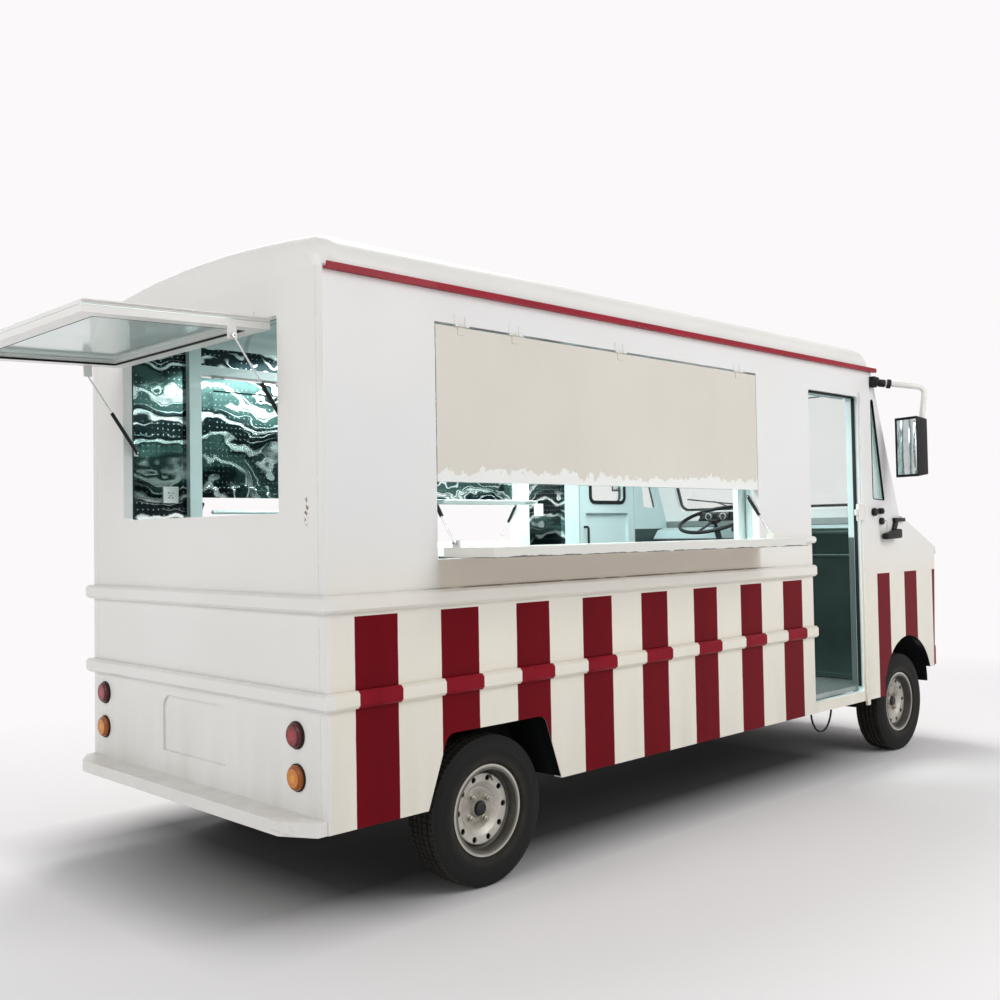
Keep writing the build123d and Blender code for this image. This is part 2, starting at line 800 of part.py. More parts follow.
for label, side, axle_x in wheels:
    centre = (axle_x, side * wheel_y, tyre_r)
    section = Plane(origin=centre, x_dir=(0, side, 0), z_dir=(side, 0, 0))
    spin = Axis(centre, (0, 1, 0))

    with BuildPart() as tyre:
        with BuildSketch(section):
            with BuildLine():
                Line((-bead_half, bead_r), (-bead_half, bead_top))
                ThreePointArc((-bead_half, bead_top), (-tyre_w / 2, 250), (-81, 311))
                ThreePointArc((-81, 311), (-77, 319), (-69, 322))
                ThreePointArc((-69, 322), (0, tyre_r), (69, 322))
                ThreePointArc((69, 322), (77, 319), (81, 311))
                ThreePointArc((81, 311), (tyre_w / 2, 250), (bead_half, bead_top))
                Line((bead_half, bead_top), (bead_half, bead_r))
                Line((bead_half, bead_r), (-bead_half, bead_r))
            make_face()
        revolve(axis=spin)
    export(tyre, f"tyre_{label}")

    with BuildPart() as rim:
        with BuildSketch(section):
            with BuildLine():
                Polyline(
                    (-rim_half, rim_r),
                    (-bead_half, rim_r),
                    (-bead_half, bead_r - 0.3),
                    (-42, bead_r - 2),
                    (-32, 163),
                    (14, 163),
                    (28, bead_r - 2),
                    (bead_half, bead_r - 0.3),
                    (bead_half, rim_r),
                    (rim_half, rim_r),
                    (rim_half, bead_r - 5),
                    (30, bead_r - 8),
                    (16, 158),
                    (-34, 158),
                    (-46, bead_r - 8),
                    (-rim_half, bead_r - 5),
                    close=True,
                )
            make_face()
            with BuildLine():
                Polyline(
                    (16, 160),
                    (34, 151),
                    (30, 116),
                    (12, 92),
                    (hub_out, 44),
                    (hub_out, 30),
                    (2, 30),
                    (2, 44),
                    (6, 97),
                    (24, 120),
                    (27, 147),
                    (12, 156),
                    (12, 160),
                    close=True,
                )
            make_face()
            with BuildLine():
                Polyline(
                    (hub_in, spindle_r + fit),
                    (hub_in, 46),
                    (5, 46),
                    (hub_out + 16, 33),
                    (hub_out + 27, 28),
                    (hub_out + 30, 18),
                    (hub_out + 31, 0),
                    (26, 0),
                    (26, spindle_r + fit),
                    close=True,
                )
            make_face()
        revolve(axis=spin)
        with BuildSketch(Plane.XZ.offset(-side * (wheel_y + 60))):
            with Locations((axle_x, tyre_r)):
                with PolarLocations(vent_circle, vents):
                    Circle(vent_r)
        extrude(amount=side * 80, mode=Mode.SUBTRACT)
    export(rim, f"rim_{label}")

# Dashboard on the bulkhead, with the steering column
column_y = 208
steer_hub = Vector(rear_x + 4300, column_y, 1570)
column_foot = Vector(bulkhead_x, column_y, 546)
column_dir = (steer_hub - column_foot).normalized()
column_r = 22
steer_shaft_r = 12

with BuildPart() as dashboard:
    with BuildSketch(Plane.XZ):
        with BuildLine():
            FilletPolyline(
                (bulkhead_x, 1540),
                (rear_x + 4575, 1515),
                (rear_x + 4510, 1440),
                (rear_x + 4540, 1370),
                (rear_x + 4640, 1300),
                (bulkhead_x, 1290),
                radius=18,
                close=True,
            )
        make_face()
        with Locations((bulkhead_x - 70, 1010)):
            Rectangle(140, 24)
    extrude(amount=inner_y - 5, both=True)
    box(bulkhead_x - 2, bulkhead_x, -inner_y + 5, inner_y - 5, 998, 1540)
    with BuildSketch(Plane(origin=column_foot - column_dir * 60, z_dir=column_dir)):
        Circle(column_r)
    extrude(amount=(steer_hub - column_foot).length + 20)
    with BuildSketch(Plane(origin=steer_hub - column_dir * 60, z_dir=column_dir)):
        Circle(steer_shaft_r)
    extrude(amount=69)
    box(bulkhead_x, bulkhead_x + 200, -inner_y, inner_y, 300, 1700, mode=Mode.SUBTRACT)
    box(rear_x + 4300, bulkhead_x + 10, 0, 500, 300, floor_top, mode=Mode.SUBTRACT)
    box(rear_x + 4380, rear_x + 4560, column_y - 30, column_y + 30, 1385, 1405)
export(dashboard, "dashboard")

# Steering wheel: a rim, three spokes and a hub on the column's shaft
steer_rim_r = 255
steer_tube_r = 13
steer_top = steer_hub + column_dir * 20

with BuildPart() as steering_wheel:
    wheel_plane = Plane(origin=steer_top, x_dir=(0, 1, 0), z_dir=column_dir)
    with Locations(wheel_plane):
        Torus(steer_rim_r, steer_tube_r)
        for turn in (90, 210, 330):
            with Locations(Location((0, 0, 0), (0, 0, turn))):
                with Locations((steer_rim_r / 2 + 8, 0, -6)):
                    Box(steer_rim_r - 40, 26, 7)
        with Locations((0, 0, -8)):
            Cylinder(46, 24)
    with BuildSketch(Plane(origin=steer_hub - column_dir * 4, z_dir=column_dir)):
        Circle(steer_shaft_r + fit)
    extrude(amount=15, mode=Mode.SUBTRACT)
export(steering_wheel, "steering_wheel")

# Driver's seat: a pedestal, a cushion and a back
seat_x = rear_x + 4020

with BuildPart() as seat_frame:
    box(seat_x - 190, seat_x + 190, column_y - 200, column_y + 200, floor_top, 860)
    fillet(seat_frame.edges().filter_by(Axis.Z), 30)
    box(seat_x - 235, seat_x + 215, column_y - 235, column_y + 235, 860, 872)
export(seat_frame, "seat_frame")

with BuildPart() as seat_cushions:
    box(seat_x - 225, seat_x + 235, column_y - 235, column_y + 235, 872, 975)
    with BuildSketch(Plane.XZ.offset(-column_y)):
        with BuildLine():
            FilletPolyline(
                (seat_x - 225, 880),
                (seat_x - 100, 950),
                (seat_x - 205, 1405),
                (seat_x - 290, 1405),
                radius=28,
                close=True,
            )
        make_face()
    extrude(amount=225, both=True)
export(seat_cushions, "seat_cushions")

# Inner frame: posts and rails round the openings, and the sliding door's track
post_in = 38
post_y = inner_y - post_in
lintel_h = 47
sill_h = 40
track_y = 862
posts = [
    # side, rear edge, front edge, foot
    (-1, 489, 559, 730),
    (-1, 2975, 3045, floor_top),
    (-1, 3487, 3552, floor_top),
    (-1, 4165, 4205, floor_top),
    (1, 489, 559, 730),
    (1, 2975, 3075, floor_top),
    (1, 3487, 3596, floor_top),
]

with BuildPart() as inner_frame:
    for side, x0, x1, foot in posts:
        box(rear_x + x0, rear_x + x1, side * post_y, side * inner_y, foot, eaves_z)
    for side in (-1, 1):
        box(rear_x + 489, rear_x + 3045, side * post_y, side * inner_y, serving_z1, serving_z1 + lintel_h)
        box(rear_x + 489, rear_x + 3045, side * post_y, side * inner_y, serving_z0 - sill_h, serving_z0)
    with BuildSketch(Plane.YZ.offset(rear_x + 2880)):
        with BuildLine():
            Polyline(
                (-post_y, 2350),
                (-post_y, 2392),
                (-track_y, 2392),
                (-track_y, 2350),
                (-track_y - 6, 2350),
                (-track_y - 6, 2386),
                (-post_y + 6, 2386),
                (-post_y + 6, 2350),
                close=True,
            )
        make_face()
    extrude(amount=4205 - 2880)
export(inner_frame, "inner_frame")

# Worktops along both sides, on three panels with a shelf
top_z = 1340
top_x = (rear_x + 1320, rear_x + 2860)
top_depth = 500

with BuildPart() as worktops:
    for side in (-1, 1):
        front = side * (inner_y - top_depth)
        box(*top_x, front, side * inner_y, top_z - 40, top_z)
        box(*top_x, front + side * 30, side * inner_y, 780, 800)
        for x in (top_x[0], (top_x[0] + top_x[1]) / 2 - 10, top_x[1] - 20):
            box(x, x + 20, front + side * 30, side * inner_y, floor_top, top_z - 40)
export(worktops, "worktops")


# Hinges. Each has a middle knuckle on the leaf and two on the body, with a pin
knuckle_r = 5
hinge_pin_r = 2.5
knuckle_half = 20
knuckle_side = 18
hinge_leaf_t = 3


def shifted(axis, centre, by):
    """A point moved along a named axis."""
    step = {"X": (by, 0, 0), "Y": (0, by, 0), "Z": (0, 0, by)}[axis]
    return tuple(c + d for c, d in zip(centre, step))


def moving_knuckle(axis, centre, radius):
    """The knuckle on the leaf, to be bored by moving_bore."""
    bar(axis, shifted(axis, centre, -knuckle_half), 2 * knuckle_half, radius)


def moving_bore(axis, centre):
    """The bore that runs on the pin."""
    bar(axis, shifted(axis, centre, -100), 200, hinge_pin_r + fit, mode=Mode.SUBTRACT)


def fixed_knuckles(axis, centre, radius):
    """The body's two knuckles and the pin between them."""
    reach = knuckle_half + 1
    bar(axis, shifted(axis, centre, reach), knuckle_side, radius)
    bar(axis, shifted(axis, centre, -reach - knuckle_side), knuckle_side, radius)
    bar(axis, shifted(axis, centre, -reach - knuckle_side), 2 * (reach + knuckle_side), hinge_pin_r)


# Serving flaps: the upper one closed, the counter folded out level
flap_gap = 5
flap_inset = 24
skin_t = 4
flap_x0 = serving_x0 + flap_gap
flap_x1 = serving_x1 - flap_gap
flap_axis_out = 6
flap_axis_z = 2392
flap_bottom_z = 1736
flap_t = 40
flap_hinge_xs = [708, 1032, 1764, 2788]
counter_axis_z = 1420
counter_reach = 305
counter_t = 42
counter_gap = 7
counter_hinge_xs = [760, 1480, 2050, 2740]

# Counter struts: feet on the posts, rods' eyes at brackets on the counter
strut_in = 14
strut_r = 9
rod_r = 4
eye_t = 10
counter_foot = (929, 1700)
counter_eye = (1076, 1480)
counter_cylinder = 130
counter_rod = 172

for label, side in (("right", -1), ("left", 1)):
    with BuildPart() as serving_flap:
        face_y = side * half_width
        box(flap_x0, flap_x1, face_y, face_y - side * skin_t, flap_bottom_z, flap_axis_z - 6)
        box(
            flap_x0 + flap_inset - flap_gap,
            flap_x1 - flap_inset + flap_gap,
            face_y - side * skin_t,
            face_y - side * flap_t,
            flap_bottom_z,
            flap_axis_z - 6,
        )
        box(
            flap_x0 + 90,
            flap_x1 - 90,
            face_y - side * 12,
            face_y - side * flap_t,
            flap_bottom_z + 70,
            flap_axis_z - 70,
            mode=Mode.SUBTRACT,
        )
        for x in flap_hinge_xs:
            centre = (rear_x + x, side * (half_width + flap_axis_out), flap_axis_z)
            box(
                centre[0] - knuckle_half,
                centre[0] + knuckle_half,
                face_y,
                face_y + side * hinge_leaf_t,
                flap_axis_z - 38,
                flap_axis_z,
            )
            moving_knuckle("X", centre, knuckle_r)
            moving_bore("X", centre)
    export(serving_flap, f"serving_flap_{label}")

    with BuildPart() as counter_flap:
        near = side * (half_width + counter_gap)
        far = side * (half_width + counter_reach)
        box(flap_x0, flap_x1, near, far, counter_axis_z, counter_axis_z + skin_t)
        box(
            flap_x0 + flap_inset - flap_gap,
            flap_x1 - flap_inset + flap_gap,
            near,
            far,
            counter_axis_z + skin_t,
            counter_axis_z + counter_t,
        )
        for x in counter_hinge_xs:
            centre = (rear_x + x, side * half_width, counter_axis_z)
            box(
                centre[0] - knuckle_half,
                centre[0] + knuckle_half,
                side * half_width,
                side * (half_width + 38),
                counter_axis_z - hinge_leaf_t,
                counter_axis_z,
            )
            moving_knuckle("X", centre, knuckle_r)
            moving_bore("X", centre)
        for end, inward in ((serving_x0, 1), (serving_x1, -1)):
            ear = end + inward * flap_inset
            eye_y, eye_h_z = counter_eye
            box(
                ear,
                ear + inward * 6,
                side * (eye_y - 22),
                side * (eye_y + 22),
                counter_axis_z + counter_t,
                eye_h_z + 12,
            )
            start = min(ear + inward * 6, end + inward * (strut_in + eye_t / 2 + 1.5))
            length = flap_inset + 6 - (strut_in + eye_t / 2 + 1.5)
            bar("X", (start, side * eye_y, eye_h_z), length, rod_r)
    export(counter_flap, f"counter_flap_{label}")

# Rear hatch, drawn on its own plane and standing open
hatch_turn = radians(hatch_open_deg)
hatch_axis_z = 2392
hatch_plane = Plane(
    origin=(rear_x - hatch_hinge_out, 0, hatch_axis_z),
    x_dir=(0, 1, 0),
    z_dir=(cos(hatch_turn), 0, -sin(hatch_turn)),
)
hatch_u0 = 6
hatch_v0 = 6
hatch_t = 44
hatch_border = 70
hatch_hinge_ys = [-480, -11, 458]
hatch_foot = (71, 1936)
hatch_eye_u = 182
hatch_eye_v = 88
hatch_cylinder = 227
hatch_rod = 250


def hatch_point(u, v, y):
    """A place on the hatch: u down from its hinge, v in from its face."""
    return hatch_plane.from_local_coords(Vector(y, -u, v))


with BuildPart() as rear_hatch:
    mid_u = (hatch_u0 + hatch_len) / 2
    high = hatch_len - hatch_u0
    wide = hatch_y1 - hatch_y0
    with BuildSketch(hatch_plane.offset(hatch_v0)):
        with Locations((hatch_mid_y, -mid_u)):
            RectangleRounded(wide - 12, high, 8)
    extrude(amount=skin_t)
    with BuildSketch(hatch_plane.offset(hatch_v0 + skin_t)):
        with Locations((hatch_mid_y, -mid_u)):
            RectangleRounded(wide - 2 * flap_inset, high, 8)
    extrude(amount=hatch_t - skin_t)
    with BuildSketch(hatch_plane.offset(hatch_v0 + 16)):
        with Locations((hatch_mid_y, -mid_u)):
            RectangleRounded(wide - 2 * hatch_border - 2 * flap_inset, high - 2 * hatch_border, 25)
    extrude(amount=hatch_t, mode=Mode.SUBTRACT)
    for y in hatch_hinge_ys:
        centre = (rear_x - hatch_hinge_out, y, hatch_axis_z)
        with BuildSketch(hatch_plane.offset(hatch_v0 - hinge_leaf_t)):
            with Locations((y, -19)):
                Rectangle(2 * knuckle_half, 38)
        extrude(amount=hinge_leaf_t)
        moving_knuckle("Y", centre, knuckle_r)
        moving_bore("Y", centre)
    for end, inward in ((hatch_y0, 1), (hatch_y1, -1)):
        ear = end + inward * (flap_inset + 3)
        with BuildSketch(hatch_plane.offset(hatch_v0 + hatch_t)):
            with Locations((ear, -hatch_eye_u)):
                Rectangle(6, 40)
        extrude(amount=hatch_eye_v + 12 - hatch_v0 - hatch_t)
        near = end + inward * (strut_in + eye_t / 2 + 1.5)
        far = end + inward * (flap_inset + 6)
        bar("Y", tuple(hatch_point(hatch_eye_u, hatch_eye_v, min(near, far))), abs(far - near), rod_r)
export(rear_hatch, "rear_hatch")

# Fixed hinge halves and strut feet
with BuildPart() as hinge_leaves:
    for side in (-1, 1):
        for x in flap_hinge_xs:
            centre = (rear_x + x, side * (half_width + flap_axis_out), flap_axis_z)
            for way in (-1, 1):
                near = centre[0] + way * (knuckle_half + 1)
                box(
                    near,
                    near + way * knuckle_side,
                    side * half_width,
                    side * (half_width + hinge_leaf_t),
                    flap_axis_z,
                    flap_axis_z + 44,
                )
            fixed_knuckles("X", centre, knuckle_r)
        for x in counter_hinge_xs:
            centre = (rear_x + x, side * half_width, counter_axis_z)
            for way in (-1, 1):
                near = centre[0] + way * (knuckle_half + 1)
                box(
                    near,
                    near + way * knuckle_side,
                    side * (half_width - 36),
                    side * half_width,
                    serving_z0,
                    serving_z0 + hinge_leaf_t,
                )
            fixed_knuckles("X", centre, knuckle_r)
        foot_y, foot_z = counter_foot
        for end, inward in ((serving_x0, 1), (serving_x1, -1)):
            start = end if inward > 0 else end - 20
            bar("X", (start, side * foot_y, foot_z), 20, rod_r)
            bar("X", (end if inward > 0 else end - 3, side * foot_y, foot_z), 3, 12)
    for y in hatch_hinge_ys:
        centre = (rear_x - hatch_hinge_out, y, hatch_axis_z)
        for way in (-1, 1):
            near = y + way * (knuckle_half + 1)
            far = near + way * knuckle_side
            box(rear_x - hinge_leaf_t, rear_x, near, far, hatch_axis_z, hatch_axis_z + 44)
        fixed_knuckles("Y", centre, knuckle_r)
    foot_x, foot_z = rear_x - hatch_hinge_out + hatch_foot[0], hatch_foot[1]
    for end, inward in ((hatch_y0, 1), (hatch_y1, -1)):
        box(rear_x + wall, foot_x + 14, end - inward * 10, end - inward * 4, foot_z - 14, foot_z + 14)
        start = end - 10 if inward > 0 else end - 20
        bar("Y", (foot_x, start, foot_z), 30, rod_r)
export(hinge_leaves, "hinge_leaves")


def strut_plane(foot, eye, pin):
    """A strut's own plane: along Z from its foot to its eye, X along the pins."""
    return Plane(origin=foot, x_dir=pin, z_dir=Vector(eye) - Vector(foot))


def strut_cylinders(label, places, pin, length):
    """Cylinders of a pair of gas struts, each with an eye at its foot."""
    with BuildPart() as cylinders:
        for foot, eye in places:
            with Locations(strut_plane(foot, eye, pin)):
                Cylinder(strut_r, eye_t, rotation=(0, 90, 0))
                with Locations((0, 0, 6)):
                    Cylinder(strut_r, length - 6, align=(Align.CENTER, Align.CENTER, Align.MIN))
                with Locations((0, 0, 22)):
                    Cylinder(
                        rod_r + fit, length, align=(Align.CENTER, Align.CENTER, Align.MIN), mode=Mode.SUBTRACT
                    )
                Cylinder(rod_r + fit, 30, rotation=(0, 90, 0), mode=Mode.SUBTRACT)
    export(cylinders, label)


def strut_rods(label, places, pin, length):
    """Their rods, each with an eye at its far end."""
    with BuildPart() as rods:
        for foot, eye in places:
            reach = (Vector(eye) - Vector(foot)).length
            with Locations(strut_plane(foot, eye, pin)):
                with Locations((0, 0, reach - length)):
                    Cylinder(rod_r, length - 6, align=(Align.CENTER, Align.CENTER, Align.MIN))
                with Locations((0, 0, reach)):
                    Cylinder(strut_r, eye_t, rotation=(0, 90, 0))
                    Cylinder(rod_r + fit, 30, rotation=(0, 90, 0), mode=Mode.SUBTRACT)
    export(rods, label)


for label, side in (("right", -1), ("left", 1)):
    pair = []
    for x in (serving_x0 + strut_in, serving_x1 - strut_in):
        foot = (x, side * counter_foot[0], counter_foot[1])
        eye = (x, side * counter_eye[0], counter_eye[1])
        pair.append((foot, eye))
    strut_cylinders(f"counter_strut_cylinders_{label}", pair, (1, 0, 0), counter_cylinder)
    strut_rods(f"counter_strut_rods_{label}", pair, (1, 0, 0), counter_rod)

pair = []
for y in (hatch_y0 + strut_in, hatch_y1 - strut_in):
    foot = (rear_x - hatch_hinge_out + hatch_foot[0], y, hatch_foot[1])
    pair.append((foot, tuple(hatch_point(hatch_eye_u, hatch_eye_v, y))))
strut_cylinders("hatch_strut_cylinders", pair, (0, 1, 0), hatch_cylinder)
strut_rods("hatch_strut_rods", pair, (0, 1, 0), hatch_rod)

# Sliding door on the right, standing back behind the wall, hung from its track
slide_x0 = rear_x + 2905
slide_x1 = rear_x + 3545
slide_y0 = 868
slide_y1 = 900
slide_z0 = 506
slide_z1 = 2344
slide_window = (rear_x + 3020, rear_x + 3430, 1700, 2200)

with BuildPart() as sliding_door:
    with BuildSketch(Plane.XZ.offset(slide_y0)):
        with Locations(((slide_x0 + slide_x1) / 2, (slide_z0 + slide_z1) / 2)):
            RectangleRounded(slide_x1 - slide_x0, slide_z1 - slide_z0, 12)
        with Locations(((slide_window[0] + slide_window[1]) / 2, (slide_window[2] + slide_window[3]) / 2)):
            RectangleRounded(
                slide_window[1] - slide_window[0], slide_window[3] - slide_window[2], 40, mode=Mode.SUBTRACT
            )
    extrude(amount=slide_y1 - slide_y0)
    for x in (slide_x0 + 90, slide_x1 - 150):
        box(x, x + 60, -slide_y0 - 12, -slide_y0 - 20, slide_z1 - 2, 2372)
        bar("Y", (x + 30, -slide_y1 + 6, 2368), 20, 10)
    box(slide_x1 - 70, slide_x1 - 40, -slide_y1, -slide_y1 + 14, 1240, 1400, mode=Mode.SUBTRACT)
export(sliding_door, "sliding_door")

with BuildPart() as sliding_door_glass:
    with BuildSketch(Plane.XZ.offset(slide_y0 + 13)):
        with Locations(((slide_window[0] + slide_window[1]) / 2, (slide_window[2] + slide_window[3]) / 2)):
            RectangleRounded(slide_window[1] - slide_window[0], slide_window[3] - slide_window[2], 40)
    extrude(amount=glass_t)
export(sliding_door_glass, "sliding_door_glass")

# Driver's door on the left, hinged at its front edge and closed
swing_x0 = left_door[0] + 5
swing_x1 = left_door[1] - 5
swing_z0 = door_z0 + 5
swing_z1 = door_z1 - 5
swing_window = (rear_x + 3768, rear_x + 4168, 1733, 2235)
swing_axis = (rear_x + 4287, 999)
swing_knuckle_r = 7
swing_hinge_zs = [720, 1400, 2120]

with BuildPart() as swing_door:
    with BuildSketch(wall_plane(1, half_width)):
        with Locations(((swing_x0 + swing_x1) / 2, (swing_z0 + swing_z1) / 2)):
            RectangleRounded(swing_x1 - swing_x0, swing_z1 - swing_z0, 14)
        with Locations(((swing_window[0] + swing_window[1]) / 2, (swing_window[2] + swing_window[3]) / 2)):
            RectangleRounded(
                swing_window[1] - swing_window[0], swing_window[3] - swing_window[2], 45, mode=Mode.SUBTRACT
            )
    extrude(amount=wall)
    panel_top = swing_window[2] - 80
    box(swing_x0 + 70, swing_x1 - 70, inner_y, inner_y + 30, swing_z0 + 80, panel_top, mode=Mode.SUBTRACT)
    hinge_x, hinge_out = swing_axis[0], half_width + 4
    for z in swing_hinge_zs:
        box(hinge_x - 50, hinge_x - 2, half_width, hinge_out, z - knuckle_half, z + knuckle_half)
        moving_knuckle("Z", (*swing_axis, z), swing_knuckle_r)
        box(hinge_x - 8, hinge_x, half_width, hinge_out, z - knuckle_half, z + knuckle_half)
        moving_bore("Z", (*swing_axis, z))
    bar("Y", (swing_x0 + 40, half_width, 1300), 30, 9)
    box(swing_x0 + 28, swing_x0 + 170, half_width + 26, half_width + 40, 1288, 1312)
export(swing_door, "swing_door")

with BuildPart() as swing_door_glass:
    with BuildSketch(wall_plane(1, half_width - glass_inset - glass_t)):
        with Locations(((swing_window[0] + swing_window[1]) / 2, (swing_window[2] + swing_window[3]) / 2)):
            RectangleRounded(swing_window[1] - swing_window[0], swing_window[3] - swing_window[2], 45)
    extrude(amount=-glass_t)
export(swing_door_glass, "swing_door_glass")

with BuildPart() as door_hinges:
    for z in swing_hinge_zs:
        for way in (-1, 1):
            near = z + way * (knuckle_half + 1)
            far = near + way * knuckle_side
            box(hinge_x + 4, hinge_x + 50, half_width, hinge_out, near, far)
            box(hinge_x, hinge_x + 8, half_width + 2, hinge_out + 4, near, far)
        fixed_knuckles("Z", (*swing_axis, z), swing_knuckle_r)
export(door_hinges, "door_hinges")

# A cable loop that hangs from the floor behind the right sill
cable_y = 931
cable_r = 6

with BuildPart() as sill_cable:
    with BuildLine(Plane.XZ.offset(cable_y)) as route:
        FilletPolyline(
            (rear_x + 3590, rail_z1),
            (rear_x + 3590, 385),
            (rear_x + 3624, 306),
            (rear_x + 3690, 264),
            (rear_x + 3764, 270),
            (rear_x + 3820, 322),
            (rear_x + 3844, 395),
            (rear_x + 3844, rail_z1),
            radius=70,
        )
    with BuildSketch(Plane(origin=route.line @ 0, z_dir=route.line % 0)):
        Circle(cable_r)
    sweep(path=route.line)
export(sill_cable, "sill_cable")
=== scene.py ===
# %% [markdown]
# # An electric food truck
#
# The truck's construction, its doors, flaps, struts and wheels, comes from the CAD model. This script
# adds the looks: it gives every CAD part its finish, and it models what CAD leaves out, such as
# tyre tread, window seals, mirrors and the padded seat. It is read from top to bottom, a step at a time.

from math import cos, pi, radians, sin

import bpy
from mathutils import Matrix, Vector


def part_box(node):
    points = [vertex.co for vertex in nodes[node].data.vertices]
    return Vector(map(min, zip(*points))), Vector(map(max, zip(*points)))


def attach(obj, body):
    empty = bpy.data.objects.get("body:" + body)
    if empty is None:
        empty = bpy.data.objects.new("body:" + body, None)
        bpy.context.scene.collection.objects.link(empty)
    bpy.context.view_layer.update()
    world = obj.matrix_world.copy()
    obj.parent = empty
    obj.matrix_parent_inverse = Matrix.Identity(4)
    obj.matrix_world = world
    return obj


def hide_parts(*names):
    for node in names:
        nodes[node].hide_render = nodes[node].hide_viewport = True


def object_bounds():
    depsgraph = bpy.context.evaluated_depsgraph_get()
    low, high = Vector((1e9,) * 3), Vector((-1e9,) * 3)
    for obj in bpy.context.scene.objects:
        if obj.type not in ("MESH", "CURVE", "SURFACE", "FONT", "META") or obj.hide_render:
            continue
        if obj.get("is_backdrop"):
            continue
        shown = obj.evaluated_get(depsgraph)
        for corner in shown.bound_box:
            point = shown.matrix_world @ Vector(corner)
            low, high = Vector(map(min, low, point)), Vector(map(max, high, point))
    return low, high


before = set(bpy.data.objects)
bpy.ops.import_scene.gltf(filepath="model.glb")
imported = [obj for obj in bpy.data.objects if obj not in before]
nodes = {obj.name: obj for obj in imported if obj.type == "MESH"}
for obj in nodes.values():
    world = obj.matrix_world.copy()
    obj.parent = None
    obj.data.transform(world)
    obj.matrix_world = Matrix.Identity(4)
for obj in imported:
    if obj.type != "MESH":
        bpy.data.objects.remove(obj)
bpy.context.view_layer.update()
bpy.context.scene.view_settings.view_transform = "Standard"

# %% [markdown]
# All places along the truck are counted from the rear face of its body, because that is how the
# photograph shows it. A short function turns such a distance into the frame's own X.

# %% Driving sizes, read from the frame
rear_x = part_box("rear_wall")[0].x
half_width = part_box("side_wall_left")[1].y
wall = half_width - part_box("side_wall_left")[0].y
eaves_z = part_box("side_wall_left")[1].z
wheel_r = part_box("tyre_rear_left")[1].z / 2
wheel_y = 0.856


def along(x):
    """The frame's X of a place given from the rear face."""
    return rear_x + x


print("Half width", round(half_width, 3), "wall", round(wall, 3), "wheel radius", round(wheel_r, 3))

# %% [markdown]
# ## The camera
#
# The photograph was taken from behind the right rear corner, at eye height. The camera's place and
# turn were worked out from the wheels, the moldings and the stripes. It is set before anything is
# modelled, so that each step can be compared with the photograph.

# %% Camera
camera_spot = Vector((along(-2.398), -3.368 - half_width, 1.520))
camera_yaw = radians(45.418)
camera_pitch = radians(1.708)
camera_roll = radians(-0.989)

bpy.ops.object.camera_add()
camera = bpy.context.object
camera.name = "camera"
camera.data.lens = 39.27
camera.data.sensor_width = 36.0
ahead = Vector((cos(camera_yaw) * cos(camera_pitch), sin(camera_yaw) * cos(camera_pitch), sin(camera_pitch)))
level = Vector((sin(camera_yaw), -cos(camera_yaw), 0.0))
upward = level.cross(ahead)
right_hand = cos(camera_roll) * level + sin(camera_roll) * upward
overhead = cos(camera_roll) * upward - sin(camera_roll) * level
turn = Matrix((right_hand, overhead, -ahead)).transposed().to_4x4()
camera.matrix_world = Matrix.Translation(camera_spot) @ turn
bpy.context.scene.camera = camera
print("Camera height", camera_spot.z, "m, lens", camera.data.lens, "mm")

# %% [markdown]
# ## Handling meshes
#
# Blender's operators act on whatever is selected, so each step first deselects everything. The
# helpers below add a shape with its place already in its mesh, pick faces by their direction, and
# round a shape's edges. Every piece in this script is made with them.

# %% Selecting and adding


def pick_none():
    """Leaves edit mode and deselects everything."""
    if bpy.context.object and bpy.context.object.mode != "OBJECT":
        bpy.ops.object.mode_set(mode="OBJECT")
    bpy.ops.object.select_all(action="DESELECT")


def settle(piece, name):
    """Names a new piece and moves its place, turn and size into its mesh."""
    pick_none()
    piece.name = name
    piece.select_set(True)
    bpy.context.view_layer.objects.active = piece
    bpy.ops.object.transform_apply(location=True, rotation=True, scale=True)
    return piece


def block(name, low, high):
    """A box between two corners."""
    pick_none()
    middle = (Vector(low) + Vector(high)) / 2
    bpy.ops.mesh.primitive_cube_add(size=1, location=middle, scale=Vector(high) - Vector(low))
    return settle(bpy.context.object, name)


def drum(name, foot, along_axis, radius, length, sides=32):
    """A round bar from the middle of its foot, along a direction."""
    pick_none()
    direction = Vector(along_axis).normalized()
    bpy.ops.mesh.primitive_cylinder_add(
        vertices=sides,
        radius=radius,
        depth=length,
        location=Vector(foot) + direction * length / 2,
        rotation=direction.to_track_quat("Z", "Y").to_euler(),
    )
    return settle(bpy.context.object, name)


def edit(piece, mode="FACE"):
    """Opens one piece in edit mode with nothing selected."""
    pick_none()
    piece.select_set(True)
    bpy.context.view_layer.objects.active = piece
    bpy.ops.object.mode_set(mode="EDIT")
    bpy.ops.mesh.select_mode(type=mode)
    bpy.ops.mesh.select_all(action="DESELECT")


def pick_faces(piece, wanted):
    """Selects the faces for which wanted(middle, normal) is true, and returns to edit mode."""
    bpy.ops.object.mode_set(mode="OBJECT")
    for face in piece.data.polygons:
        face.select = bool(wanted(face.center, face.normal))
    bpy.ops.object.mode_set(mode="EDIT")


def inset_faces(piece, wanted, by, depth=0.0, sunk=0.0):
    """Insets the wanted faces, and moves them along their normal: out if sunk is above 0."""
    edit(piece)
    pick_faces(piece, wanted)
    bpy.ops.mesh.inset(thickness=by, depth=depth)
    if sunk:
        bpy.ops.mesh.extrude_region_shrink_fatten(TRANSFORM_OT_shrink_fatten={"value": sunk})
    pick_none()
    return piece


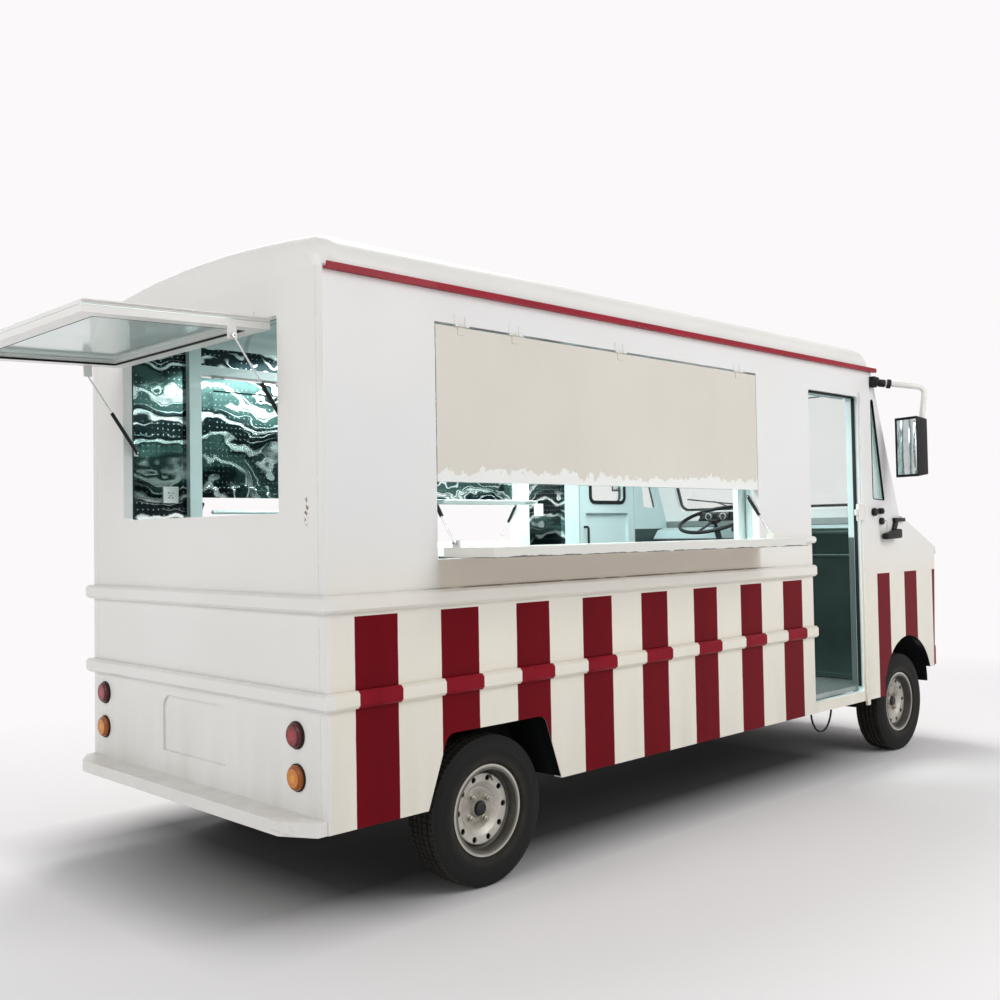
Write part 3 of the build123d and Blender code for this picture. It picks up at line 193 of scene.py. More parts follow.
def soften(piece, width, segments=2, limit=30):
    """Rounds a piece's sharp edges with a bevel, and shades it smooth."""
    pick_none()
    piece.select_set(True)
    bpy.context.view_layer.objects.active = piece
    bevel = piece.modifiers.new("bevel", "BEVEL")
    bevel.width = width
    bevel.segments = segments
    bevel.limit_method = "ANGLE"
    bevel.angle_limit = radians(limit)
    bpy.ops.object.modifier_apply(modifier=bevel.name)
    bpy.ops.object.shade_smooth_by_angle(angle=radians(40))
    return piece


def outwards(piece):
    """Merges double points and turns every face outwards."""
    edit(piece, "VERT")
    bpy.ops.mesh.select_all(action="SELECT")
    bpy.ops.mesh.remove_doubles(threshold=0.00005)
    bpy.ops.mesh.normals_make_consistent(inside=False)
    pick_none()
    return piece


def joined(pieces, name):
    """Several pieces as one."""
    pick_none()
    for piece in pieces:
        piece.select_set(True)
    bpy.context.view_layer.objects.active = pieces[0]
    if len(pieces) > 1:
        bpy.ops.object.join()
    return settle(bpy.context.object, name)


def copy_of(piece, name, shift=(0, 0, 0), flip_y=False):
    """A copy with its own mesh, moved, or mirrored across the truck's middle."""
    pick_none()
    twin = piece.copy()
    twin.data = piece.data.copy()
    bpy.context.scene.collection.objects.link(twin)
    if flip_y:
        twin.scale.y = -1
    twin.location = Vector(shift)
    settle(twin, name)
    return outwards(twin) if flip_y else twin


def tube(name, points, radius, bend=0.0, closed=False, sides=6):
    """A round tube through some points, its corners rounded by the bend."""
    pick_none()
    data = bpy.data.curves.new(name, "CURVE")
    data.dimensions = "3D"
    data.bevel_depth = radius
    data.bevel_resolution = sides
    data.use_fill_caps = True
    line = data.splines.new("POLY")
    route = rounded(points, bend, closed) if bend else points
    line.points.add(len(route) - 1)
    for spot, place in zip(line.points, route):
        spot.co = (*place, 1)
    line.use_cyclic_u = closed
    piece = bpy.data.objects.new(name, data)
    bpy.context.scene.collection.objects.link(piece)
    piece.select_set(True)
    bpy.context.view_layer.objects.active = piece
    bpy.ops.object.convert(target="MESH")
    bpy.ops.object.shade_smooth_by_angle(angle=radians(50))
    return settle(piece, name)


def rounded(points, bend, closed=False, steps=6):
    """A run of points whose corners are rounded, each by a short curve."""
    spots = [Vector(p) for p in points]
    count = len(spots)
    smooth = []
    for i, corner in enumerate(spots):
        if not closed and i in (0, count - 1):
            smooth.append(corner)
            continue
        before = spots[i - 1] - corner
        after = spots[(i + 1) % count] - corner
        reach = min(bend, before.length * 0.45, after.length * 0.45)
        start = corner + before.normalized() * reach
        end = corner + after.normalized() * reach
        for k in range(steps + 1):
            t = k / steps
            smooth.append((1 - t) ** 2 * start + 2 * t * (1 - t) * corner + t * t * end)
    return smooth


def wear(piece, material, body):
    """Gives a finished piece its material and the body that it moves with."""
    piece.data.materials.clear()
    piece.data.materials.append(material)
    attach(piece, body)
    return piece


print("Mesh helpers ready")

# %% [markdown]
# ## Writing materials as sums
#
# A material is a small calculation that Blender repeats at every point of a surface: where am I, how
# near is the nearest stripe, how dirty is it here. Written with nodes alone, such sums get long, so
# one class wraps a node's output and lets Python's own signs add the nodes for us.

# %% A wire that can be calculated with


def colour(code, alpha=1.0):
    """A screen colour such as e6e3dc, as the linear values that Blender works in."""
    shares = [int(code[i : i + 2], 16) / 255 for i in (0, 2, 4)]
    return (*[s / 12.92 if s <= 0.04045 else ((s + 0.055) / 1.055) ** 2.4 for s in shares], alpha)


class Wire:
    """An output in one material, which + - * / work on."""

    def __init__(self, tree, socket=None):
        self.tree = tree
        self.socket = socket

    def node(self, kind, settings=None, sockets=None, out=0):
        """Any other node: its kind, its settings, then the values or wires of its sockets."""
        made = self.tree.nodes.new(kind)
        for name, value in (settings or {}).items():
            if name == "stops":
                set_stops(made.color_ramp, value)
            else:
                setattr(made, name, value)
        for name, value in (sockets or {}).items():
            if isinstance(value, Wire):
                self.tree.links.new(value.socket, made.inputs[name])
            else:
                made.inputs[name].default_value = value
        return Wire(self.tree, made.outputs[out])

    def math(self, operation, first, second, clamp=False):
        return self.node(
            "ShaderNodeMath", {"operation": operation, "use_clamp": clamp}, {0: first, 1: second}
        )

    def __add__(self, other):
        return self.math("ADD", self, other)

    def __sub__(self, other):
        return self.math("SUBTRACT", self, other)

    def __mul__(self, other):
        return self.math("MULTIPLY", self, other)

    def __truediv__(self, other):
        return self.math("DIVIDE", self, other)

    def __rsub__(self, other):
        return self.math("SUBTRACT", other, self)

    __radd__ = __add__
    __rmul__ = __mul__

    def above(self, edge, soft=0.001):
        """1 where this is above an edge, 0 below it, and smooth between."""
        return self.math("ADD", (self - edge) / soft, 0.5, clamp=True)

    def within(self, low, high, soft=0.001):
        """1 between two edges."""
        return self.above(low, soft) * (1 - self.above(high, soft))

    def size(self):
        return self.math("ABSOLUTE", self, 0)

    def repeat(self, pitch):
        """How far this has come since the last whole number of pitches."""
        return self.math("FLOORED_MODULO", self, pitch)

    def power(self, exponent):
        return self.math("POWER", self, exponent)

    def wave(self):
        return self.math("SINE", self, 0)

    def either(self, other):
        return self.math("MAXIMUM", self, other)

    def blend(self, dark, light):
        """The first colour where this is 0, the second where it is 1."""
        names = {"data_type": "RGBA", "clamp_factor": True}
        return self.node("ShaderNodeMix", names, {0: self, 6: dark, 7: light}, out=2)


def set_stops(ramp, stops):
    """Stops of a colour ramp, each a place and a grey level or a colour."""
    while len(ramp.elements) > 1:
        ramp.elements.remove(ramp.elements[-1])
    for i, (place, level) in enumerate(stops):
        stop = ramp.elements[0] if i == 0 else ramp.elements.new(place)
        stop.position = place
        stop.color = level if isinstance(level, tuple) else (level, level, level, 1)


class Finish(Wire):
    """One material being made: its own place wires, noises and final shader."""

    def __init__(self, name):
        self.material = bpy.data.materials.new(name)
        self.material.use_nodes = True
        super().__init__(self.material.node_tree)
        self.tree.nodes.clear()
        self.place = self.node("ShaderNodeTexCoord", out=3)
        split = self.node("ShaderNodeSeparateXYZ", None, {0: self.place}).socket.node
        self.x, self.y, self.z = (Wire(self.tree, split.outputs[i]) for i in range(3))
        facing = self.node("ShaderNodeNewGeometry", out=1)
        split = self.node("ShaderNodeSeparateXYZ", None, {0: facing}).socket.node
        self.nx, self.ny, self.nz = (Wire(self.tree, split.outputs[i]) for i in range(3))

    def stretched(self, sx, sy, sz):
        """The place with each direction scaled, for streaks."""
        return self.node("ShaderNodeVectorMath", {"operation": "MULTIPLY"}, {0: self.place, 1: (sx, sy, sz)})

    def noise(self, scale, detail=3.0, place=None, rough=0.55):
        sockets = {"Vector": place or self.place, "Scale": scale, "Detail": detail, "Roughness": rough}
        return self.node("ShaderNodeTexNoise", None, sockets)

    def specks(self, scale, size):
        """Small scattered spots: 1 inside a spot."""
        cells = self.node("ShaderNodeTexVoronoi", None, {"Vector": self.place, "Scale": scale})
        return 1 - cells.above(size, size * 0.5)

    def done(self, base, rough, metal=0.0, bump=None, depth=0.001, **constants):
        """Closes the material with one Principled shader. bump is a height, depth its metres."""
        sockets = {"Base Color": base, "Roughness": rough, "Metallic": metal}
        for name, value in constants.items():
            sockets[name.replace("_", " ").title().replace("Ior", "IOR")] = value
        if bump is not None:
            heights = {"Height": bump, "Distance": depth, "Strength": 1.0}
            sockets["Normal"] = self.node("ShaderNodeBump", None, heights)
        shader = self.node("ShaderNodeBsdfPrincipled", None, sockets)
        self.node("ShaderNodeOutputMaterial", None, {"Surface": shader})
        return self.material

    def node(self, kind, settings=None, sockets=None, out=0):
        if kind == "ShaderNodeOutputMaterial":
            made = self.tree.nodes.new(kind)
            self.tree.links.new(sockets["Surface"].socket, made.inputs["Surface"])
            return None
        return super().node(kind, settings, sockets, out)


print("Shader helpers ready")

# %% [markdown]
# ## Coach paint and the awning stripes
#
# The body is white coach paint, creamy below the waist and neutral above it, with burgundy stripes on
# the cream like a shop awning. The stripes are painted over the lower molding, so they are a sum of
# the place alone: every 440 mm a band of 212 mm, up to a fixed height. The paint also has what a
# hand-painted van has: slight waves, dust near the sill, a few specks and a flaked spot at the back.
# It also carries painted light: a painted shadow below the counter, dirt and painted shade in the
# crease above the molding there, and painted cool shade on the rear face.

# %% Coach paint
stripe_pitch = 0.440
stripe_width = 0.212
stripe_start = 0.130
stripe_top = 1.209
stripe_end = 3.560
front_stripes = [(4.375, 4.550), (4.765, 4.950), (5.195, 5.400)]
molding_z = [(0.861, 0.928), (1.226, 1.293)]
upper_white = colour("e9e9e9")
cream = colour("ebe6da")
rear_cool_shade = colour("eae9e6")
burgundy = colour("6e0a17")
worn_red = colour("8a1826")
cab_cyan = colour("bfd4d4")
liner_black = colour("15181a")
dust = colour("a89c8a")


def stripe_mask(paint):
    """1 on the burgundy stripes of the sides and of the nose."""
    edge = paint.noise(9, 2) * 0.004 - 0.002
    outside = paint.y.size().above(half_width - 0.002)
    run = paint.x - along(stripe_start) + edge
    sides = run.repeat(stripe_pitch).within(0, stripe_width, 0.0012)
    sides = sides * paint.x.within(along(0), along(stripe_end))
    for start, end in front_stripes:
        sides = sides.either((paint.x + edge).within(along(start), along(end), 0.0012))
    sides = sides * outside
    across = (paint.y.size() + stripe_width / 2).repeat(stripe_pitch).within(0, stripe_width, 0.0012)
    corner = paint.y.size().above(half_width - 0.060)
    nose = across.either(corner) * paint.x.above(along(5.195))
    return sides.either(nose) * (1 - paint.z.above(stripe_top))


def arch_edges(paint):
    """1 on the cut edges of the wheel arches, which carry the black liner's overspray."""
    cut = 1 - paint.ny.size().above(0.5, 0.1)
    near = paint.x.within(along(0.45), along(1.36)).either(paint.x.within(along(4.38), along(5.18)))
    inside = 1 - paint.y.size().above(half_width - 0.003, 0.002)
    return cut * near * inside * paint.z.within(0.410, 0.860)


def coach_paint(name, striped=True, lined=None, sheet=None, cab=None, mirror=0.92):
    """White coach paint, striped, with a polished sheet where lined is 1 and pale cyan where cab is 1."""
    paint = Finish(name)
    broad = paint.noise(0.9, 2)
    streak = paint.noise(1.0, 4, paint.stretched(7, 7, 0.6))
    rear = 1 - paint.x.above(rear_x + 0.018, 0.002)
    side = paint.z.above(1.35, 0.5).blend(cream, upper_white)
    # painted cool shade: the rear face is a cooler white than the side's cream
    white = rear.blend(side, rear_cool_shade)
    white = ((broad - 0.42) * 0.9).blend(white, colour("ddd8d0"))
    low = 1 - (paint.z - 0.40).math("DIVIDE", paint.z - 0.40, 0.55, clamp=True)
    grime = (streak - 0.35) * low * 0.55
    ledges = 0
    for low_z, high_z in molding_z:
        ledges = paint.z.within(high_z - 0.010, high_z + 0.004, 0.006) * 0.30 + ledges
    before_door = 1 - paint.x.above(along(stripe_end), 0.01)
    grime = grime.either(ledges * streak * before_door)
    white = grime.blend(white, dust)
    # dirt and painted shade in the crease above the upper molding, below the counter
    crease_dirt_and_shade = paint.z.within(1.2925, 1.2985, 0.002) * paint.x.within(along(0.6), along(3.0), 0.3)
    white = (crease_dirt_and_shade * paint.noise(9, 3).above(0.40, 0.2) * 0.85).blend(white, colour("6f4f38"))
    # painted shadow of the counter flap on the wall below it, warm in tone
    counter_shadow = paint.z.within(1.295, 1.425, 0.03) * paint.x.within(along(0.56), along(2.98), 0.03)
    white = (counter_shadow * 0.45).blend(white, colour("cdb79f"))
    flaked = paint.y.within(-0.884, -0.858, 0.008) * paint.z.within(1.560, 1.665, 0.02) * rear
    white = (flaked * paint.noise(60, 3).above(0.56, 0.05)).blend(white, colour("7d6046"))
    specks = paint.specks(38, 0.045) * paint.noise(3, 1).above(0.56, 0.05)
    white = (specks * 0.45).blend(white, colour("8c7a66"))
    look = white
    rough = broad * 0.10 + 0.26
    metal = 0.0
    coat = 0.25
    if striped:
        red = paint.y.size().above(half_width + 0.006).blend(burgundy, worn_red)
        red = ((streak - 0.45) * 0.9).blend(red, colour("4c0711"))
        mask = stripe_mask(paint)
        look = mask.blend(look, red)
        coat = 0.25 - mask * 0.25
    height = paint.noise(2.2, 2) * 0.6 + paint.noise(180, 1) * 0.012
    if lined is not None:
        # lined faces carry the lining's painted reflections
        inner = lined(paint)
        look = inner.blend(look, (sheet or lining_reflections)(paint))
        rough = rough * (1 - inner) + inner * 0.10
        metal = inner * mirror
        height = height * (1 - inner) + lining_waves(paint) * inner * 6
    if cab is not None:
        inside_cab = cab(paint)
        look = (inside_cab * (0.9 + broad * 0.1)).blend(look, cab_cyan)
        foot = inside_cab * paint.x.above(along(4.295), 0.002) * (1 - paint.z.above(1.530, 0.004))
        look = foot.blend(look, colour("3d4b49"))
    if striped:
        look = arch_edges(paint).blend(look, liner_black)
    return paint.done(
        look, rough, metal, height, 0.0016, coat_weight=coat, coat_roughness=0.12, specular_ior_level=0.05
    )


print("Stripes every", stripe_pitch, "m, each", stripe_width, "m wide")

# %% [markdown]
# ## Polished lining
#
# Inside, the walls are lined with thin polished stainless sheet. It isn't flat, so it mirrors the dark
# kitchen in long bent streaks. Two parts give that look: a slow bump that bends the reflections, and
# painted reflections in the metal's colour, dark and light bands that follow the same waves and small
# pale dots.

# %% The lining's look
# colours of the lining's painted reflections
steel_dark = colour("122124")
steel_mid = colour("47625f")
reflection_light = colour("edf6f3")
dot_pitch = 0.030


def lining_waves(paint):
    """A slow height that bends reflections, longer along the truck than up."""
    return paint.noise(1.0, 2, paint.stretched(1.1, 1.1, 3.4))


def lining_reflections(paint):
    """Dark metal with painted reflections: long bent light bands and small pale dots."""
    bent = paint.noise(1.0, 3, paint.stretched(1.7, 1.7, 2.6))
    ripple = paint.noise(1.0, 2, paint.stretched(5.0, 5.0, 9.0))
    phase = paint.z * 46 + bent * 30 + ripple * 5
    thin = phase.wave().above(0.80, 0.30) * ripple.above(0.40, 0.16)
    fine = (phase * 2.7 + bent * 9).wave().above(0.90, 0.16) * bent.above(0.46, 0.08)
    broad = (phase * 0.37 + ripple * 2).wave().above(0.30, 0.8)
    metal = broad.blend(steel_dark, steel_mid)
    across = (paint.x + bent * 0.12).repeat(dot_pitch) - dot_pitch / 2
    up = (paint.z + ripple * 0.04).repeat(dot_pitch) - dot_pitch / 2
    dots = 1 - (across * across + up * up).power(0.5).above(0.0036, 0.0014)
    metal = (dots * ripple.above(0.45, 0.1) * 0.8).blend(metal, colour("b9c9c6"))
    return thin.either(fine).blend(metal, reflection_light)


def hatch_sheet(paint):
    """The hatch's own lining: painted pale, a painted reflection of the light ground."""
    haze = paint.noise(1.4, 3)
    return ((haze - 0.35) * 1.1).blend(colour("deebe8"), colour("b4cbc6"))


def wall_inside(paint):
    """Side walls: inside faces lie at the wall's own depth, lined as far as the doorway."""
    inside = 1 - paint.y.size().above(half_width - wall + 0.0006, 0.0002)
    return inside * (1 - paint.x.above(along(3.550), 0.002))


def cab_inside(paint):
    """Inside faces round the cab, which are painted."""
    inside = 1 - paint.y.size().above(half_width - 0.010, 0.0005)
    return inside * paint.x.above(along(3.550), 0.002)


def rear_inside(paint):
    return paint.x.above(rear_x + wall - 0.0006, 0.0002)


def stainless(name):
    """Plain polished or brushed stainless sheet, for the worktops and the floor's edges."""
    sheet = Finish(name)
    grain = sheet.noise(1.0, 3, sheet.stretched(6, 300, 300))
    cloud = sheet.noise(1.6, 3)
    tone = (cloud * 0.7 + grain * 0.3).blend(colour("59686a"), colour("c3cfcf"))
    rough = cloud * 0.12 + 0.16 + grain * 0.06
    return sheet.done(tone, rough, 0.95, lining_waves(sheet) + grain * 0.01, 0.006)


print("Lining ready")

# %% [markdown]
# ## Finishes for the other CAD parts
#
# Each finish below belongs to one sort of surface on the truck. None is a flat colour: the roof has
# rain streaks, the gutter's crimson is chalky on top, the underside is dusty black, the wheels are
# silver-cream enamel with brake dust, and the protective film on the flaps is torn at its edge.

# %% Roof and gutters


def roof_paint():
    paint = Finish("roof_paint")
    broad = paint.noise(1.1, 3)
    streak = paint.noise(1.0, 4, paint.stretched(1.2, 9, 3))
    top = paint.nz.above(0.55, 0.3)
    white = ((broad - 0.4) * 1.3).blend(colour("e9e8e4"), colour("dcd9d1"))
    white = (top * (streak - 0.38) * 0.8).blend(white, colour("b9b2a4"))
    inside = 1 - paint.nz.above(-0.05, 0.02)
    ribs = (paint.x * (2 * pi / 0.30)).wave().above(0.96, 0.05)
    ceiling = (ribs * 0.5).blend(colour("c9d6d4"), colour("7f8f8e"))
    ceiling = ((broad - 0.45) * 0.8).blend(ceiling, colour("a9bab8"))
    look = inside.blend(white, ceiling)
    height = broad * 0.5 + streak * 0.05 - ribs * inside * 0.8
    return paint.done(
        look, 0.30 + broad * 0.12, 0.0, height, 0.0015, coat_weight=0.25, specular_ior_level=0.2
    )


def gutter_paint():
    paint = Finish("gutter_paint")
    chalk = paint.noise(1.0, 4, paint.stretched(3, 20, 20))
    top = paint.nz.above(0.4, 0.4)
    red = ((chalk - 0.4) * 1.4).blend(colour("98142a"), colour("6e0c1c"))
    red = (top * chalk * 0.5).blend(red, colour("c05a68"))
    chips = paint.specks(60, 0.10) * paint.noise(4, 2).above(0.58, 0.04)
    look = (chips * 0.8).blend(red, colour("e0d8ce"))
    return paint.done(
        look, 0.36 + chalk * 0.15, 0.0, chalk - chips, 0.0008, coat_weight=0.1, specular_ior_level=0.15
    )


# %% Bumpers, film and frames


def bumper_paint(name, shade, chip):
    paint = Finish(name)
    cloud = paint.noise(5, 4)
    scuff = paint.noise(1.0, 4, paint.stretched(40, 4, 30)).above(0.66, 0.05)
    top = paint.nz.above(0.6, 0.3)
    dirt = top * paint.noise(12, 4).above(0.52, 0.14)
    look = ((cloud - 0.35) * 0.6).blend(colour(shade), colour(chip))
    look = (scuff * 0.18 + dirt * 0.10).blend(look, colour("8d8272"))
    return paint.done(look, 0.34 + cloud * 0.2, 0.0, cloud + scuff * 0.6, 0.0012, coat_weight=0.2)


def film_skin():
    """Beige protective film, torn where the white paint round it has lifted."""
    paint = Finish("flap_film")
    low_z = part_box("serving_flap_right")[0].z
    outer = paint.y.size().above(half_width - 0.003)
    tear = paint.noise(7, 4, rough=0.75) * 0.190 + paint.noise(34, 4, rough=0.7) * 0.040 - 0.066
    high = paint.z - low_z
    start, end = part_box("serving_flap_right")[0].x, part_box("serving_flap_right")[1].x
    bare = 1 - (high - tear).above(0.0, 0.002)
    side = 1 - (paint.x - start - tear * 0.45 + 0.028).above(0.0, 0.002)
    front = 1 - (end - paint.x - tear * 0.6 + 0.034).above(0.0, 0.002)
    bare = bare.either(side).either(front)
    cloud = paint.noise(1.5, 3)
    brush = paint.noise(1.0, 3, paint.stretched(3, 3, 0.5))
    film = ((cloud - 0.4) * 1.5).blend(colour("dad5cb"), colour("d0c9bd"))
    film = ((brush - 0.5) * 0.6).blend(film, colour("c3b9ab"))
    face = bare.blend(film, colour("ececea"))
    look = outer.blend(colour("e2e0da"), face)
    # the flap's inside faces carry the lining's painted reflections
    inner = 1 - paint.y.size().above(half_width - 0.010, 0.0005)
    look = inner.blend(look, lining_reflections(paint))
    rough = 0.52 - inner * 0.38
    return paint.done(look, rough, inner * 0.9, bare * 0.5 + brush * 0.2 + cloud * 0.3, 0.0012)


def counter_paint():
    paint = Finish("counter_paint")
    cloud = paint.noise(2.4, 3)
    slab_z = 1.420
    # painted shade of the gap along the flap's lower edge and ends: a dark strip with a ragged edge
    edge = paint.noise(1.0, 4, paint.stretched(14, 4, 4)) * 0.020
    gap_shade = (1 - (paint.z - slab_z - edge + 0.006).above(0.0, 0.0015)) * paint.z.above(slab_z - 0.015)
    start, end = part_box("counter_flap_right")[0].x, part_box("counter_flap_right")[1].x
    ends = (1 - paint.x.above(start + 0.003)).either(paint.x.above(end - 0.003))
    gap_shade = gap_shade * paint.y.size().above(half_width + 0.301).either(ends)
    top = paint.nz.above(0.6, 0.3)
    white = ((cloud - 0.4) * 1.2).blend(colour("dfdfd9"), colour("d0cec4"))
    white = (top * (paint.noise(9, 4) - 0.42) * 1.1).blend(white, colour("b8b2a6"))
    look = (gap_shade * 0.85).blend(white, colour("2a2420"))
    return paint.done(look, 0.30 + cloud * 0.14, 0.0, cloud - gap_shade * 0.6, 0.0012, coat_weight=0.25)


def frame_paint():
    """Pale blue-white paint of the posts and rails inside, with painted shade on the lower front post."""
    paint = Finish("frame_paint")
    cloud = paint.noise(5, 4)
    chips = paint.specks(90, 0.09) * paint.noise(6, 2).above(0.56, 0.05)
    look = ((cloud - 0.4) * 1.2).blend(colour("cfe2e1"), colour("b4cbca"))
    look = (chips * 0.7).blend(look, colour("60706f"))
    # painted shade on the lower part of the front post by the doorway
    front_post = paint.x.above(along(4.100), 0.002) * (1 - paint.y.above(0, 0.01))
    shade = front_post * (1 - paint.z.above(1.450, 0.01))
    look = shade.blend(look, colour("4d5a58"))
    return paint.done(look, 0.34 + cloud * 0.12, 0.0, cloud - chips * 0.5, 0.0007, coat_weight=0.2)


# %% Underside, wheels and rubber


def underbody(name, shade, rust=0.3):
    """Dusty black parts below, with rust at their edges."""
    iron = Finish(name)
    cloud = iron.noise(9, 5)
    fine = iron.noise(70, 3)
    top = iron.nz.above(0.3, 0.5)
    look = ((fine - 0.3) * 0.8).blend(colour(shade), colour("2a2a29"))
    look = (top * cloud * 0.45).blend(look, colour("5c5347"))
    look = (cloud.above(0.62, 0.08) * rust).blend(look, colour("5a3420"))
    return iron.done(look, 0.62 + cloud * 0.25, 0.25, fine + cloud * 0.6, 0.0011, specular_ior_level=0.2)


def arch_liner():
    """Black rubberised liner inside the wheel arches."""
    liner = Finish("arch_liner")
    pebble = liner.noise(120, 2)
    splash = liner.noise(3.5, 4)
    look = ((splash - 0.45) * 1.2).blend(colour("0c0f11"), colour("211f1e"))
    return liner.done(
        look, 0.60 + splash * 0.25, 0.0, pebble * 0.5 + splash * 0.3, 0.0012, specular_ior_level=0.2
    )


def spun_about(finish, axle_x):
    """Distance from a wheel's axle line."""
    dx = finish.x - axle_x
    dz = finish.z - wheel_r
    return (dx * dx + dz * dz).power(0.5)


def rim_enamel(name, axle_x):
    """Silver-cream enamel with brake dust near the middle, rust by the nuts, and painted shade in the dish
    and on the inboard part.
    """
    rim = Finish(name)
    r = spun_about(rim, axle_x)
    cloud = rim.noise(14, 5)
    fine = rim.noise(90, 3)
    enamel = ((cloud - 0.35) * 1.1).blend(colour("c6c3ba"), colour("9c978c"))
    # painted shade in the deep ring of the dish, inside the flange
    dish_shade = r.within(0.150, 0.186, 0.010)
    enamel = (dish_shade * 0.82 + cloud * 0.10).blend(enamel, colour("38352f"))
    middle = 1 - r.above(0.090, 0.030)
    enamel = (middle * cloud * 0.9).blend(enamel, colour("6d5f4f"))
    rust = (cloud * 0.6 + fine * 0.4).above(0.60, 0.04) * (1 - r.above(0.185, 0.02))
    enamel = (rust * 0.35).blend(enamel, colour("6a513c"))
    # the inboard part of the rim is painted dark: painted shade inside the wheel
    inner = rim.y.size().above(wheel_y - 0.051, 0.02)
    enamel = inner.blend(colour("3a3733"), enamel)
    cap = 1 - r.above(0.0335, 0.001)
    enamel = cap.blend(enamel, colour("151515"))
    return rim.done(enamel, 0.34 + cloud * 0.22, 0.35, cloud * 0.6 + fine * 0.2, 0.0012, coat_weight=0.15)


def tyre_rubber(name, axle_x):
    """Dusty rubber with fine rings on the sidewall."""
    rubber = Finish(name)
    r = spun_about(rubber, axle_x)
    rings = (r * (2 * pi / 0.0042)).wave() * r.within(0.236, 0.262, 0.004)
    cloud = rubber.noise(9, 4)
    dusty = r.within(0.190, 0.232, 0.020) * 0.35
    crown = r.above(0.318, 0.004)
    black = ((cloud - 0.3) * 0.9).blend(colour("131415"), colour("201f1d"))
    look = (dusty * cloud * 0.7 + crown * 0.30 * cloud + 0.02).blend(black, colour("5f574a"))
    fine = rubber.noise(150, 2)
    return rubber.done(
        look, 0.74 + cloud * 0.16, 0.0, rings * 0.5 + fine * 0.35, 0.0008, specular_ior_level=0.25
    )


def rubber_seal(name="rubber_seal", shade="121213"):
    seal = Finish(name)
    cloud = seal.noise(20, 3)
    look = ((cloud - 0.3) * 0.6).blend(colour(shade), colour("2c2c2c"))
    return seal.done(look, 0.50 + cloud * 0.2, 0.0, seal.noise(160, 2), 0.0003, specular_ior_level=0.25)


def black_moulding(name="black_moulding", shade="141416"):
    """Grained black plastic."""
    plastic = Finish(name)
    grain = plastic.node("ShaderNodeTexVoronoi", None, {"Vector": plastic.place, "Scale": 420.0})
    cloud = plastic.noise(8, 3)
    look = ((cloud - 0.35) * 0.7).blend(colour(shade), colour("2d2d2f"))
    return plastic.done(look, 0.38 + cloud * 0.2, 0.0, grain, 0.0003, specular_ior_level=0.25)


# %% Bright metal, glass and lamps


def bright_steel(name, shade="c9cdce", rough=0.2):
    steel = Finish(name)
    grain = steel.noise(1.0, 3, steel.stretched(200, 200, 20))
    cloud = steel.noise(18, 3)
    look = ((cloud - 0.35) * 0.8).blend(colour(shade), colour("8d9090"))
    return steel.done(look, cloud * 0.12 + rough + grain * 0.05, 0.95, grain, 0.0002)


def window_glass(name, shade):
    pane = Finish(name)
    smear = pane.noise(2.5, 4)
    tint = ((smear - 0.3) * 0.8).blend(colour(shade), colour("f4f2f0"))
    return pane.done(tint, smear * 0.05, 0.0, pane.noise(1.2, 1), 0.0004, transmission_weight=0.96, ior=1.45)


def lamp_lens(name, spots, shade, glint, face_x):
    """A ribbed round lens: rings about the nearest lamp's middle, painted lighter as glints, and a painted
    highlight at the middle.
    """
    lens = Finish(name)
    r = None
    for middle_y, middle_z in spots:
        dy = lens.y - middle_y
        dz = lens.z - middle_z
        near = (dy * dy + dz * dz).power(0.5)
        r = near if r is None else r.math("MINIMUM", r, near)
    # the rings are painted lighter and darker as glints on the lens's ribs
    rings = (r * (2 * pi / 0.0065)).wave()
    # a painted highlight in the middle of each lens
    middle_highlight = 1 - r.above(0.016, 0.010)
    rim = r.within(0.036, 0.060, 0.003)
    look = (rings * 0.25 + 0.25).blend(colour(shade), colour(glint))
    look = (middle_highlight * 0.75).blend(look, colour(glint))
    look = (rim * 0.75).blend(look, colour("2c0606") if shade[0] < "9" else colour("7a3404"))
    return lens.done(
        look,
        0.12 + rim * 0.12,
        0.0,
        rings,
        0.0009,
        coat_weight=0.25,
        coat_roughness=0.05,
        specular_ior_level=0.3,
    )


def headlamp_look(name):
    lamp = Finish(name)
    ribs = (lamp.y * (2 * pi / 0.018)).wave()
    ring = lamp.noise(30, 2)
    look = (ribs * 0.3 + 0.4).blend(colour("8f979c"), colour("f2f5f6"))
    return lamp.done(look, 0.08 + ring * 0.08, 0.75, ribs, 0.0014, coat_weight=1.0, coat_roughness=0.03)


# %% Floor and steering


def chequer_plate():
    """Aluminium tread plate: short raised bars, turned by a quarter from cell to cell."""
    plate = Finish("chequer_plate")
    pitch = 0.034
    u = (plate.x + plate.y) * 0.7071
    v = (plate.x - plate.y) * 0.7071
    cell = ((u / pitch).math("FLOOR", u / pitch, 0) + (v / pitch).math("FLOOR", v / pitch, 0)).repeat(2)
    pu = (u.repeat(pitch) - pitch / 2).size()
    pv = (v.repeat(pitch) - pitch / 2).size()
    bar_u = (1 - pu.above(0.013, 0.003)) * (1 - pv.above(0.0035, 0.003))
    bar_v = (1 - pv.above(0.013, 0.003)) * (1 - pu.above(0.0035, 0.003))
    bars = bar_u * (1 - cell) + bar_v * cell
    up = plate.nz.above(0.8, 0.1)
    cloud = plate.noise(3, 4)
    look = ((cloud - 0.3) * 1.1).blend(colour("a6adab"), colour("5d6462"))
    look = (bars * up * 0.5).blend(look, colour("d3d8d6"))
    look = (1 - plate.nz.above(-0.8, 0.1)).blend(look, colour("1c1d1e"))
    return plate.done(look, 0.30 + cloud * 0.2 - bars * 0.1, 0.85, bars * up, 0.0016)


